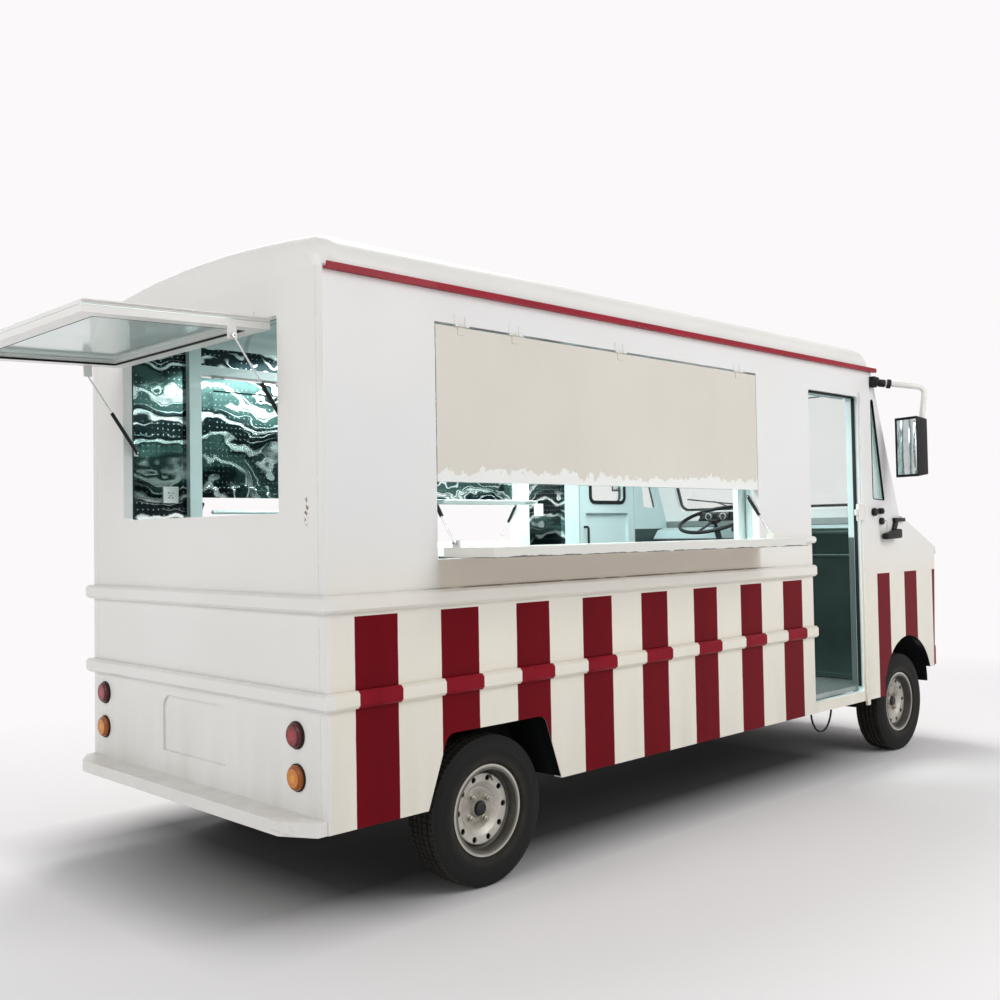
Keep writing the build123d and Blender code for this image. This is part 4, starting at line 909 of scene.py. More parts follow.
def dash_look():
    """Pale painted top and dark grained front of the dashboard."""
    dash = Finish("dashboard_finish")
    grain = dash.node("ShaderNodeTexVoronoi", None, {"Vector": dash.place, "Scale": 300.0})
    cloud = dash.noise(4, 3)
    top = dash.nz.above(0.2, 0.1) * dash.z.above(1.45, 0.01)
    look = ((cloud - 0.3) * 0.8).blend(colour("1d2021"), colour("34383a"))
    look = top.blend(look, ((cloud - 0.3) * 0.8).blend(colour("b4c8ca"), colour("93a6a8")))
    return dash.done(look, 0.45 + cloud * 0.2, 0.0, grain, 0.0004)


print("Finishes ready")

# %% [markdown]
# ## Dressing the CAD parts
#
# Where a CAD part already has the right shape, it only needs its finish. Its material slots are
# emptied and filled again; its mesh isn't touched.

# %% Give CAD parts their finishes
lens_rear = {"red": [(-0.789, 0.754), (0.866, 0.767)], "amber": [(-0.793, 0.592), (0.869, 0.600)]}
amber_spots = lens_rear["amber"] + [(-0.700, 0.780), (0.700, 0.780)]
rear_axle = along(0.875)
front_axle = along(4.765)
hatch_hinge_x = rear_x - 0.006
hatch_hinge_z = 2.392
hatch_turn = radians(88)


def dress(material, *names):
    for name in names:
        slots = nodes[name].data.materials
        slots.clear()
        slots.append(material)


def hatch_lining(paint):
    """The sunk panel of the hatch, by its depth behind the hatch's outer face."""
    deep = (paint.x - hatch_hinge_x) * cos(hatch_turn) - (paint.z - hatch_hinge_z) * sin(hatch_turn)
    return deep.within(0.0205, 0.0235, 0.0005)


striped_side = coach_paint("coach_paint_walls", lined=wall_inside, cab=cab_inside)
plain_coach = coach_paint("coach_paint_plain", striped=False)
striped_coach = coach_paint("coach_paint_striped")
dress(striped_side, "side_wall_right", "side_wall_left")
dress(coach_paint("coach_paint_rear", striped=False, lined=rear_inside), "rear_wall")
dress(striped_coach, "belt_moldings", "nose")
dress(plain_coach, "screen_frame", "bonnet", "hinge_leaves")
dress(coach_paint("coach_paint_door", cab=cab_inside), "swing_door")
dress(
    coach_paint("coach_paint_hatch", striped=False, lined=hatch_lining, sheet=hatch_sheet, mirror=0.30),
    "rear_hatch",
)
dress(frame_paint(), "inner_frame", "sliding_door")
dress(roof_paint(), "roof")
dress(gutter_paint(), "gutters")
dress(bumper_paint("rear_bumper_paint", "e4e2de", "cbc6bd"), "rear_bumper")
dress(bumper_paint("front_bumper_paint", "a3182c", "7d1020"), "front_bumper")
dress(film_skin(), "serving_flap_right", "serving_flap_left")
dress(counter_paint(), "counter_flap_right", "counter_flap_left")
dress(window_glass("cab_window_glass", "e9efec"), "cab_glass", "swing_door_glass", "sliding_door_glass")
dress(lamp_lens("tail_lens", lens_rear["red"], "6e0c14", "c41f27", rear_x), "tail_lamps")
dress(lamp_lens("amber_lens", amber_spots, "cf6f0c", "f7a421", rear_x), "indicators")
dress(headlamp_look("headlamp_lens"), "headlamps")
dress(underbody("chassis_black", "17181a"), "chassis", "leaf_springs", "seat_frame")
dress(underbody("axle_black", "1d1c1b", 0.5), "rear_axle", "front_axle", "knuckle_right", "knuckle_left")
dress(underbody("battery_case", "26292b", 0.1), "battery_box")
dress(arch_liner(), "wheel_houses")
dress(stainless("stainless_sheet"), "worktops")
dress(chequer_plate(), "floor")
dress(dash_look(), "dashboard")
dress(black_moulding("wheel_grip"), "steering_wheel")
dress(bright_steel("hinge_zinc", "b9bcbc", 0.3), "door_hinges")
cylinders = [n for n in nodes if "strut_cylinders" in n]
rods = [n for n in nodes if "strut_rods" in n]
dress(black_moulding("strut_black", "0f0f10"), *cylinders)
dress(bright_steel("strut_chrome", "d6d8d9", 0.10), *rods)
for axle, axle_x in (("rear", rear_axle), ("front", front_axle)):
    dress(rim_enamel(f"rim_enamel_{axle}", axle_x), f"rim_{axle}_left", f"rim_{axle}_right")
print("Dressed", len(nodes), "CAD parts")

# %% [markdown]
# ## Tyres
#
# The CAD tyre is a plain ring. A real van tyre has rows of tread blocks, grooves that run round it,
# and a sidewall with a bead line. One profile is drawn from bead to bead and spun round the axle;
# then every face of the tread's ribs is inset and raised on its own, which makes the blocks.

# %% A tyre by spinning a profile
tread_steps = 84
block_gap = 0.0019
block_rise = 0.0068
tyre_half = [
    # outwards from the tyre's middle, and distance from the axle: bead, sidewall, shoulder, ribs
    (0.0700, 0.1785),
    (0.0705, 0.1985),
    (0.0800, 0.2060),
    (0.0840, 0.2075),
    (0.0890, 0.2260),
    (0.0918, 0.2450),
    (0.0925, 0.2600),
    (0.0905, 0.2640),
    (0.0898, 0.2780),
    (0.0868, 0.2930),
    (0.0825, 0.3050),
    (0.0765, 0.3135),
    (0.0490, 0.3163),
    (0.0480, 0.3120),
    (0.0425, 0.3120),
    (0.0415, 0.3168),
    (0.0170, 0.3178),
    (0.0160, 0.3130),
    (0.0110, 0.3130),
    (0.0100, 0.3180),
]


def drawn_line(name, points):
    """An open line of edges through some points, drawn by extruding one point along it."""
    pick_none()
    bpy.ops.mesh.primitive_plane_add(size=0.1, location=points[0])
    line = settle(bpy.context.object, name)
    edit(line, "VERT")
    bpy.ops.mesh.select_all(action="SELECT")
    bpy.ops.mesh.merge(type="CENTER")
    for start, end in zip(points, points[1:]):
        step = Vector(end) - Vector(start)
        bpy.ops.mesh.extrude_region_move(TRANSFORM_OT_translate={"value": step})
    pick_none()
    return line


def spun(piece, steps, middle, axis):
    """A line turned once round an axis, closed, with its faces outwards."""
    edit(piece, "VERT")
    bpy.ops.mesh.select_all(action="SELECT")
    bpy.ops.mesh.spin(steps=steps, angle=2 * pi, center=middle, axis=axis)
    pick_none()
    return outwards(piece)


def make_tyre(name, middle):
    full = [(y, r) for y, r in tyre_half] + [(-y, r) for y, r in reversed(tyre_half)]
    full.append(full[0])
    points = [Vector((middle.x, middle.y + y, middle.z + r)) for y, r in full]
    tyre = spun(drawn_line(name, points), tread_steps, middle, (0, 1, 0))
    rib_faces = [(0.0490, 0.0765), (0.0170, 0.0415), (-0.0100, 0.0100)]

    def on_rib(spot, _):
        out = abs(spot.y - middle.y)
        r = (Vector((spot.x, spot.z)) - Vector((middle.x, middle.z))).length
        return r > 0.3140 and any(low < out < high for low, high in rib_faces)

    edit(tyre)
    pick_faces(tyre, on_rib)
    bpy.ops.mesh.inset(thickness=block_gap, depth=block_rise, use_individual=True)
    pick_none()
    bpy.ops.object.select_all(action="DESELECT")
    tyre.select_set(True)
    bpy.context.view_layer.objects.active = tyre
    bpy.ops.object.shade_smooth_by_angle(angle=radians(28))
    return tyre


rubber = {
    "rear": tyre_rubber("tyre_rubber_rear", rear_axle),
    "front": tyre_rubber("tyre_rubber_front", front_axle),
}
first = None
for node in sorted(n for n in nodes if n.startswith("tyre_")):
    low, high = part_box(node)
    middle = (low + high) / 2
    if first is None:
        first = (make_tyre(node.replace("tyre", "tread"), middle), middle)
        tyre = first[0]
    else:
        tyre = copy_of(first[0], node.replace("tyre", "tread"), middle - first[1])
    axle = "rear" if "rear" in node else "front"
    wear(tyre, rubber[axle], node.replace("tyre", "wheel"))
    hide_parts(node)
print("Tyre faces", len(tyre.data.polygons))

# %% [markdown]
# ## Wheel nuts and valves
#
# Four nuts hold each steel wheel. A nut is a six-sided drum with its top edge rounded on a thin
# washer; one is made, and copies are turned round the hub. The valve stem is a short rubber tube.

# %% Wheel nuts
nut_circle = 0.062
nut_r = 0.0125


def nut(name, spot, side):
    out = Vector((0, side, 0))
    washer = drum(name + "_washer", spot, out, 0.017, 0.004, 20)
    body = drum(name + "_body", spot + out * 0.003, out, nut_r, 0.016, 6)
    inset_faces(body, lambda c, n: n.dot(out) > 0.9, 0.003, depth=0.002)
    stud = drum(name + "_stud", spot + out * 0.018, out, 0.006, 0.009, 12)
    return soften(joined([washer, body, stud], name), 0.0010, 2)


nut_steel = bright_steel("nut_steel", "b3aea3", 0.32)
for node in sorted(n for n in nodes if n.startswith("rim_")):
    low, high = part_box(node)
    side = 1 if high.y > 0 else -1
    hub = Vector(((low.x + high.x) / 2, side * wheel_y, wheel_r))
    made = []
    for k in range(4):
        angle = radians(35 + 90 * k)
        spot = hub + Vector((nut_circle * cos(angle), side * 0.0085, nut_circle * sin(angle)))
        made.append(nut(f"{node}_nut{k}", spot, side))
    stem_foot = hub + Vector((0.150 * cos(1.2), side * 0.030, 0.150 * sin(1.2)))
    stem_end = stem_foot + Vector((-0.010, side * 0.030, -0.022))
    made.append(tube(f"{node}_valve", [stem_foot, stem_end], 0.004))
    wear(joined(made, node.replace("rim", "nuts")), nut_steel, node.replace("rim", "wheel"))
print("Nuts on a circle of", nut_circle, "m radius")

# %% [markdown]
# ## Window and door seals
#
# Each pane sits in a black rubber section that laps over the paint and over the glass. A seal is a
# flat ring: a plane with its corners rounded and its middle inset and removed, then given thickness
# and rounded edges. The same helper makes the windscreen, side and door seals.

# %% Seals


def grown(corners, by):
    """A flat outline with each side moved outwards by a distance."""
    spots = [Vector(c) for c in corners]
    middle = sum(spots, Vector()) / len(spots)
    normal = (spots[1] - spots[0]).cross(spots[2] - spots[1]).normalized()
    out = []
    for i, spot in enumerate(spots):
        before = (spot - spots[i - 1]).normalized()
        after = (spots[(i + 1) % len(spots)] - spot).normalized()
        n1, n2 = before.cross(normal), after.cross(normal)
        if n1.dot(spot - middle) < 0:
            n1, n2 = -n1, -n2
        mitre = (n1 + n2).normalized()
        out.append(spot + mitre * by / max(mitre.dot(n1), 0.3))
    return out


def seal(name, corners, corner_r, over, inward, low, thick):
    """A ring round a pane.

    over is its lap on the paint, inward its lap on the glass, low and thick its depth along the normal.
    """
    pick_none()
    outline = grown(corners, over)
    normal = (outline[1] - outline[0]).cross(outline[2] - outline[1]).normalized()
    bpy.ops.mesh.primitive_plane_add(size=1)
    ring = settle(bpy.context.object, name)
    order = [0, 1, 3, 2]
    for index, spot in zip(order, outline):
        ring.data.vertices[index].co = spot + normal * low
    edit(ring, "VERT")
    bpy.ops.mesh.select_all(action="SELECT")
    bpy.ops.mesh.bevel(offset=corner_r + over, segments=6, affect="VERTICES")
    bpy.ops.mesh.select_mode(type="FACE")
    bpy.ops.mesh.select_all(action="SELECT")
    bpy.ops.mesh.inset(thickness=over + inward, depth=0)
    bpy.ops.mesh.delete(type="FACE")
    bpy.ops.mesh.select_all(action="SELECT")
    bpy.ops.mesh.extrude_region_move(TRANSFORM_OT_translate={"value": normal * thick})
    pick_none()
    outwards(ring)
    return soften(ring, min(thick, over + inward) * 0.28, 2, 50)


def side_rect(x0, x1, z0, z1, y):
    """Corners of a window in a side wall, turning so that its normal points out on the right."""
    corners = [(along(x0), y, z0), (along(x1), y, z0), (along(x1), y, z1), (along(x0), y, z1)]
    return corners if y < 0 else list(reversed(corners))


black_rubber = rubber_seal()
quarter_z = (1.700, 1.691, 2.347, 2.347)
quarter_x = {-1: (4.346, 4.502, 4.372, 4.346), 1: (4.410, 4.590, 4.372, 4.346)}
for side, word in ((-1, "right"), (1, "left")):
    corners = [(along(x), side * half_width, z) for x, z in zip(quarter_x[side], quarter_z)]
    if side > 0:
        corners = list(reversed(corners))
    ring = seal(f"quarter_seal_{word}", corners, 0.012, 0.004, 0.003, -0.011, 0.014)
    wear(ring, black_rubber, "body")

door_window = (3.768, 4.168, 1.733, 2.235)
for name, y in (("door_seal_outside", half_width), ("door_seal_inside", half_width - wall - 0.004)):
    ring = seal(name, side_rect(*door_window, y), 0.045, 0.012, 0.014, -0.006, 0.010)
    wear(ring, black_rubber, "swing_door")
slide_window = (3.020, 3.430, 1.700, 2.200)
for name, y in (("slider_seal_outside", -0.900), ("slider_seal_inside", -0.862)):
    ring = seal(name, side_rect(*slide_window, y), 0.040, 0.012, 0.014, -0.006, 0.010)
    wear(ring, black_rubber, "sliding_door")

screen_foot = Vector((along(4.749), 0, 1.585))
screen_head = Vector((along(4.386), 0, eaves_z))
up_screen = (screen_head - screen_foot).normalized()
screen_half, screen_v0, screen_v1 = 0.791, 0.089, 0.903
corners = [
    screen_foot + up_screen * v + Vector((0, y, 0))
    for y, v in (
        (-screen_half, screen_v0),
        (screen_half, screen_v0),
        (screen_half, screen_v1),
        (-screen_half, screen_v1),
    )
]
ring = seal("windscreen_seal", corners, 0.060, 0.014, 0.016, -0.016, 0.022)
wear(ring, black_rubber, "body")
print("Seals made")

# %% [markdown]
# ## The rear hatch's rubber and the doorway's seals
#
# The hatch is open in the photograph, so the black strip that seals it when it is shut can be seen
# along its edges. It is drawn on the hatch's own tilted plane. The doorway has a strip down each post.

# %% Hatch rubber and doorway strips
hatch_axis = Vector((hatch_hinge_x, 0, hatch_hinge_z))
hatch_down = Vector((-sin(hatch_turn), 0, -cos(hatch_turn)))
hatch_in = Vector((cos(hatch_turn), 0, -sin(hatch_turn)))
hatch_y = (-0.681, 0.659)


def on_hatch(u, v, y):
    """A place on the hatch: u away from its hinge, v in from its outer face."""
    return hatch_axis + hatch_down * u + hatch_in * v + Vector((0, y, 0))


recess_u, recess_y = (0.079, 0.703), (-0.584, 0.562)
route = [on_hatch(recess_u[i], 0.046, recess_y[j]) for i, j in ((0, 0), (1, 0), (1, 1), (0, 1))]
wear(tube("hatch_rubber", route, 0.005, bend=0.012, closed=True), black_rubber, "rear_hatch")

frame_run = [
    (hatch_y[0] - 0.004, 1.606),
    (hatch_y[1] + 0.004, 1.606),
    (hatch_y[1] + 0.004, 2.402),
    (hatch_y[0] - 0.004, 2.402),
]
route = [Vector((rear_x + wall + 0.003, y, z)) for y, z in frame_run]
wear(tube("hatch_frame_rubber", route, 0.005, bend=0.02, closed=True), black_rubber, "body")

door_x = (3.552, 4.165)
door_z = (0.467, 2.355)
post_strips = []
for x in (door_x[0] + 0.004, door_x[1] - 0.004):
    strip = block(
        "post_strip",
        (along(x - 0.004), -half_width + 0.020, door_z[0] + 0.03),
        (along(x + 0.004), -0.950, door_z[1] - 0.01),
    )
    post_strips.append(soften(strip, 0.002))
head = block(
    "head_strip",
    (along(door_x[0] + 0.01), -half_width + 0.018, door_z[1] - 0.012),
    (along(door_x[1] - 0.01), -0.950, door_z[1]),
)
post_strips.append(soften(head, 0.003))
wear(joined(post_strips, "doorway_rubber"), black_rubber, "body")
print("Hatch and doorway rubber made")

# %% [markdown]
# ## Mirrors
#
# Each mirror hangs from a white tube that is clamped to the pillar with black brackets. The head is a
# deep black casing, rounded at the back, with a flat glass and a curved wide-angle strip beside it.
# A small wide-angle mirror sits low, near the dashboard, on a black foot. One side is modelled and
# mirrored to the other.

# %% Mirrors
tube_white = bumper_paint("mirror_tube_paint", "e9e7e2", "8d8a84")
mirror_silver = bright_steel("mirror_silver", "dfe6e8", 0.02)
casing_black = black_moulding("mirror_casing", "101113")
arm_foot = Vector((along(4.352), -half_width - 0.008, 2.463))
arm_corner = Vector((along(4.560), -1.262, 2.418))
head_spot = Vector((along(4.487), -1.199, 2.029))
head_size = Vector((0.110, 0.180, 0.390))
glass_half = 0.178
head_turn = radians(16)


def mirror_casing(name, middle, size):
    """A rounded box whose back is drawn in and whose glass side is sunk."""
    casing = block(name, middle - size / 2, middle + size / 2)
    edit(casing)
    pick_faces(casing, lambda c, n: n.x > 0.9)
    bpy.ops.transform.resize(value=(1, 0.88, 0.92), center_override=middle)
    pick_none()
    inset_faces(casing, lambda c, n: n.x < -0.9, 0.010, sunk=-0.010)
    return soften(casing, 0.018, 4)


def mirror_glass(name, middle, size):
    """The flat glass, and a strip that bulges along the outer edge."""
    face_x = middle.x - size.x / 2
    edge = middle.y - size.y / 2
    flat_glass = block(
        name,
        (face_x + 0.005, edge + 0.064, middle.z - glass_half),
        (face_x + 0.009, edge + 0.168, middle.z + glass_half),
    )
    strip = block(
        name + "_strip",
        (face_x + 0.004, edge + 0.012, middle.z - glass_half),
        (face_x + 0.010, edge + 0.060, middle.z + glass_half),
    )
    edit(strip)
    bpy.ops.mesh.select_all(action="SELECT")
    bpy.ops.mesh.subdivide(number_cuts=7)
    pick_none()
    for vertex in strip.data.vertices:
        share = (vertex.co.y - edge - 0.036) / 0.024
        high = (vertex.co.z - middle.z) / glass_half
        vertex.co.x -= 0.006 * (1 - share * share) * (1 - high * high * 0.6)
    return joined([soften(flat_glass, 0.002), soften(strip, 0.0015)], name)


def turned(piece):
    """Swings the mirror's head towards the driver, about its own middle."""
    swing = Matrix.Rotation(-head_turn, 4, "Z")
    for vertex in piece.data.vertices:
        vertex.co = head_spot + swing @ (vertex.co - head_spot)
    return piece


def collar(name, spot, direction, radius, length):
    ring = drum(name, spot, direction, radius, length, 24)
    inset_faces(ring, lambda c, n: abs(n.dot(Vector(direction).normalized())) > 0.9, 0.004, depth=0.002)
    return soften(ring, 0.0015)


arm_end = head_spot + Vector((0.034, -0.052, head_size.z / 2 - 0.030))
arm = tube(
    "mirror_arm_right", [arm_foot + Vector((0.02, -0.03, -0.003)), arm_corner, arm_end], 0.0185, bend=0.05
)
run = (arm_corner - arm_foot).normalized()
clamp = block("clamp", arm_foot + Vector((-0.020, -0.030, -0.036)), arm_foot + Vector((0.020, 0.006, 0.036)))
inset_faces(clamp, lambda c, n: n.y < -0.9, 0.008, sunk=0.020)
black_parts = [soften(clamp, 0.005)]
black_parts.append(collar("collar_a", arm_foot + run * 0.045, run, 0.025, 0.040))
black_parts.append(collar("collar_b", arm_foot + run * 0.098, run, 0.030, 0.022))
black_parts.append(turned(mirror_casing("casing", head_spot, head_size)))
black_parts.append(collar("knuckle", arm_end + Vector((0, 0, -0.03)), (0, 0, 1), 0.019, 0.05))

low_foot = Vector((along(4.680), -half_width, 1.559))
foot = block("low_foot", low_foot + Vector((-0.070, -0.024, -0.012)), low_foot + Vector((0.080, 0.0, 0.014)))
neck = block(
    "low_neck", low_foot + Vector((-0.060, -0.022, -0.070)), low_foot + Vector((-0.012, -0.002, -0.008))
)
edit(neck)
pick_faces(neck, lambda c, n: n.z < -0.9)
bpy.ops.transform.translate(value=(-0.035, 0, 0))
pick_none()
pod = block(
    "low_pod", low_foot + Vector((-0.250, -0.062, -0.122)), low_foot + Vector((-0.045, -0.004, -0.058))
)
edit(pod)
pick_faces(pod, lambda c, n: n.x < -0.9)
bpy.ops.transform.translate(value=(0, 0, -0.018))
bpy.ops.transform.resize(value=(1, 0.8, 0.62), center_override=low_foot + Vector((-0.250, -0.033, -0.108)))
pick_none()
black_parts += [soften(foot, 0.006, 3), soften(neck, 0.008, 3), soften(pod, 0.014, 4)]
head = joined(black_parts, "mirror_black_right")
glass = turned(mirror_glass("mirror_glass_right", head_spot, head_size))
for piece, material in ((arm, tube_white), (head, casing_black), (glass, mirror_silver)):
    left = copy_of(piece, piece.name.replace("right", "left"), flip_y=True)
    wear(left, material, "body")
    wear(piece, material, "body")
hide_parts("mirrors")
print("Mirror head", [round(v, 3) for v in head_size])

# %% [markdown]
# ## Locks, handles and small fittings
#
# On the pillar beside the doorway are a white striker plate, a black rim lock and a second lock with
# its key left in it. The driver's door gets a recessed pull outside, and both doors a grab bar inside.

# %% Locks and handles


def pillar_spot(x, z):
    return Vector((along(x), -half_width, z))


out = Vector((0, -1, 0))
plate = block("striker", pillar_spot(4.112, 1.556) + Vector((0, -0.020, 0)), pillar_spot(4.204, 1.662))
inset_faces(plate, lambda c, n: n.y < -0.9, 0.012, sunk=-0.004)
tongue = block("tongue", pillar_spot(4.086, 1.590) + Vector((0, -0.014, 0)), pillar_spot(4.122, 1.628))
striker = joined([soften(plate, 0.004, 3), soften(tongue, 0.003)], "striker_plate")
wear(striker, bumper_paint("striker_paint", "eceae6", "9c9890"), "body")

lock_parts = []
for x, z, radius, deep in ((4.342, 1.612, 0.026, 0.022), (4.424, 1.618, 0.020, 0.030)):
    lock = drum("lock", pillar_spot(x, z), out, radius, deep, 28)
    inset_faces(lock, lambda c, n: n.y < -0.9, radius * 0.35, depth=0.004)
    lock_parts.append(soften(lock, 0.003, 3))
link = block("lock_link", pillar_spot(4.342, 1.604) + Vector((0, -0.018, 0)), pillar_spot(4.424, 1.624))
lock_parts.append(soften(link, 0.005, 3))
barrel = drum("barrel", pillar_spot(4.440, 1.552), out, 0.023, 0.020, 28)
inset_faces(barrel, lambda c, n: n.y < -0.9, 0.008, depth=0.004)
lock_parts.append(soften(barrel, 0.003, 3))
wear(joined(lock_parts, "pillar_locks"), casing_black, "body")

key_spot = pillar_spot(4.440, 1.552) + out * 0.022
blade = block(
    "key_blade", key_spot + Vector((-0.003, -0.020, -0.002)), key_spot + Vector((0.003, 0.004, 0.004))
)
ring_points = []
for step in range(12):
    angle = step * pi / 6
    ring_points.append(key_spot + Vector((0.010 * cos(angle), -0.022, 0.010 * sin(angle) - 0.012)))
ring = tube("key_ring", ring_points, 0.0012, closed=True)
tag = block(
    "key_tag", key_spot + Vector((-0.006, -0.025, -0.075)), key_spot + Vector((0.006, -0.021, -0.020))
)
inset_faces(tag, lambda c, n: n.y < -0.9, 0.002, depth=0.0008)
wear(joined([soften(blade, 0.0006), ring, soften(tag, 0.002, 3)], "key"), nut_steel, "body")

pull = block("door_pull", (along(3.666), half_width, 1.268), (along(3.840), half_width + 0.012, 1.340))
inset_faces(pull, lambda c, n: n.y > 0.9, 0.010, sunk=-0.006)
wear(soften(pull, 0.004, 3), casing_black, "swing_door")
grab = [
    (along(3.700), half_width - wall, 1.20),
    (along(3.700), 0.905, 1.20),
    (along(3.700), 0.905, 1.55),
    (along(3.700), half_width - wall, 1.55),
]
wear(tube("door_grab", grab, 0.009, bend=0.03), casing_black, "swing_door")
slide_grab = [
    (along(3.475), -0.868, 1.15),
    (along(3.475), -0.838, 1.15),
    (along(3.475), -0.838, 1.42),
    (along(3.475), -0.868, 1.42),
]
wear(tube("slider_grab", slide_grab, 0.008, bend=0.02), casing_black, "sliding_door")
print("Locks and pulls made")

# %% [markdown]
# ## Lamp rings
#
# Each round lamp stands on a thin black rubber base, a little wider than the lens.

# %% Lamp rings
rings = []
for y, z in lens_rear["red"] + lens_rear["amber"]:
    ring = drum("lamp_base", (rear_x, y, z), (-1, 0, 0), 0.054, 0.008, 40)
    inset_faces(ring, lambda c, n: n.x < -0.9, 0.004, sunk=-0.003)
    rings.append(soften(ring, 0.0018))
wear(joined(rings, "lamp_bases"), black_rubber, "body")
print("Lamp rings", len(rings))

# %% [markdown]
# ## Inside the kitchen
#
# Through the open hatch and over the counter the photograph shows white double sockets on the lining,
# a rail of pale blue tube across each opening, and round lamps under the ceiling.

# %% Sockets, rails and ceiling lamps
socket_white = black_moulding("socket_white", "e9ecea")
socket_spots = [(0.392, 1.747), (3.205, 1.675)]
made = []
for x, z in socket_spots:
    y = half_width - wall
    plate = block("socket", (along(x - 0.043), y - 0.010, z - 0.043), (along(x + 0.043), y, z + 0.043))
    inset_faces(plate, lambda c, n: n.y < -0.9, 0.007, sunk=-0.002)
    made.append(soften(plate, 0.003, 3))
wear(joined(made, "sockets"), socket_white, "body")
slots = []
for x, z in socket_spots:
    for dx, dz in ((-0.012, 0.010), (0.012, 0.010), (-0.010, -0.014), (0.010, -0.014), (0.0, -0.004)):
        spot = (along(x + dx), half_width - wall - 0.0092, z + dz)
        slots.append(soften(drum("slot", spot, (0, -1, 0), 0.0035, 0.0012, 10), 0.0003))
wear(joined(slots, "socket_holes"), casing_black, "body")

pale_frame = nodes["inner_frame"].data.materials[0]
rail_z = 1.655
rails = []
for side in (-1, 1):
    y = side * (half_width - wall - 0.070)
    rails.append(tube("hanging_rail", [(along(0.60), y, rail_z), (along(1.24), y, rail_z)], 0.011))
    for x in (0.64, 1.20):
        rails.append(
            tube("rail_hook", [(along(x), side * (half_width - wall), rail_z), (along(x), y, rail_z)], 0.008),
        )
wear(joined(rails, "hanging_rails"), pale_frame, "body")

lamp_face = Finish("ceiling_lamp_face")
frost = lamp_face.noise(30, 2)
lamp_glow = lamp_face.done((frost * 0.5).blend(colour("f2f6f6"), colour("dfe8ea")), 0.4, 0.0, frost, 0.0004)
lamps = []
for x in (0.95, 2.35, 3.70):
    disc = drum("ceiling_lamp", (along(x), 0.0, 2.675), (0, 0, -1), 0.130, 0.030, 48)
    inset_faces(disc, lambda c, n: n.z < -0.9, 0.016, sunk=-0.006)
    lamps.append(soften(disc, 0.006, 3))
wear(joined(lamps, "ceiling_lamps"), lamp_glow, "body")
print("Kitchen fittings made")

# %% [markdown]
# ## The driver's place
#
# Through the doorway and the windscreen show a dashboard with a small hooded set of dials, a row of
# rocker switches, a drive selector and two pedals. The dials carry plain ticks and a needle, drawn as
# a sum of the angle round each dial. Ahead of the doorway a folded sheet of dull steel lines the cab.

# %% Dials, switches and pedals
dash_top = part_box("dashboard")[1].z
dash_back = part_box("dashboard")[0].x
column_y = 0.208
hood = block(
    "hood",
    (dash_back + 0.010, column_y - 0.150, dash_top - 0.004),
    (dash_back + 0.150, column_y + 0.150, dash_top + 0.060),
)
edit(hood)
pick_faces(hood, lambda c, n: n.z > 0.9)
bpy.ops.transform.resize(value=(0.82, 0.84, 1))
bpy.ops.transform.translate(value=(0.010, 0, 0))
pick_none()
inset_faces(hood, lambda c, n: n.x < -0.8, 0.012, sunk=-0.012)
cockpit = [soften(hood, 0.008, 3)]
for k in range(6):
    y = -0.30 + 0.055 * k
    switch = block(
        "switch",
        (dash_back - 0.004, y - 0.018, dash_top - 0.082),
        (dash_back + 0.010, y + 0.018, dash_top - 0.046),
    )
    edit(switch)
    pick_faces(switch, lambda c, n: n.x < -0.9)
    bpy.ops.transform.rotate(
        value=radians(12), orient_axis="Y", center_override=(dash_back - 0.004, y, dash_top - 0.064)
    )
    pick_none()
    cockpit.append(soften(switch, 0.003))
selector = drum("selector", (dash_back + 0.002, 0.02, dash_top - 0.066), (-1, 0, 0), 0.026, 0.026, 36)
inset_faces(selector, lambda c, n: n.x < -0.9, 0.006, sunk=0.010)
cockpit.append(soften(selector, 0.003, 3))
for y in (column_y - 0.075, column_y + 0.075):
    stem = tube(
        "pedal_stem",
        [(along(4.600), y, 1.05), (along(4.520), y, 1.02), (along(4.440), y, 0.80)],
        0.009,
        bend=0.05,
    )
    pad = block("pedal_pad", (along(4.405), y - 0.035, 0.745), (along(4.423), y + 0.035, 0.825))
    inset_faces(pad, lambda c, n: n.x < -0.9, 0.005, depth=0.002)
    cockpit += [stem, soften(pad, 0.003)]
wear(joined(cockpit, "cab_controls"), casing_black, "body")

dial_face = Finish("dial_faces")
dial_y = (dial_face.y - column_y).size() - 0.062
dial_z = dial_face.z - (dash_top + 0.028)
reach = (dial_y * dial_y + dial_z * dial_z).power(0.5)
turned = dial_z.math("ARCTAN2", dial_z, dial_y)
ticks = (turned * 12).wave().above(0.82, 0.1) * reach.within(0.018, 0.023, 0.0006)
ring = reach.within(0.0235, 0.0255, 0.0006)
needle = (turned - 2.2).size().above(0.05, 0.03)
needle = (1 - needle) * (1 - reach.above(0.017, 0.001))
look = (ticks.either(ring)).blend(colour("0d0f12"), colour("dfe5e6"))
look = needle.blend(look, colour("d65a1e"))
dial_paint = dial_face.done(look, 0.25 + reach * 0.5, 0.0, reach, 0.0002, coat_weight=0.8)
face = block(
    "dials",
    (dash_back + 0.020, column_y - 0.112, dash_top + 0.000),
    (dash_back + 0.028, column_y + 0.112, dash_top + 0.054),
)
wear(soften(face, 0.002), dial_paint, "body")

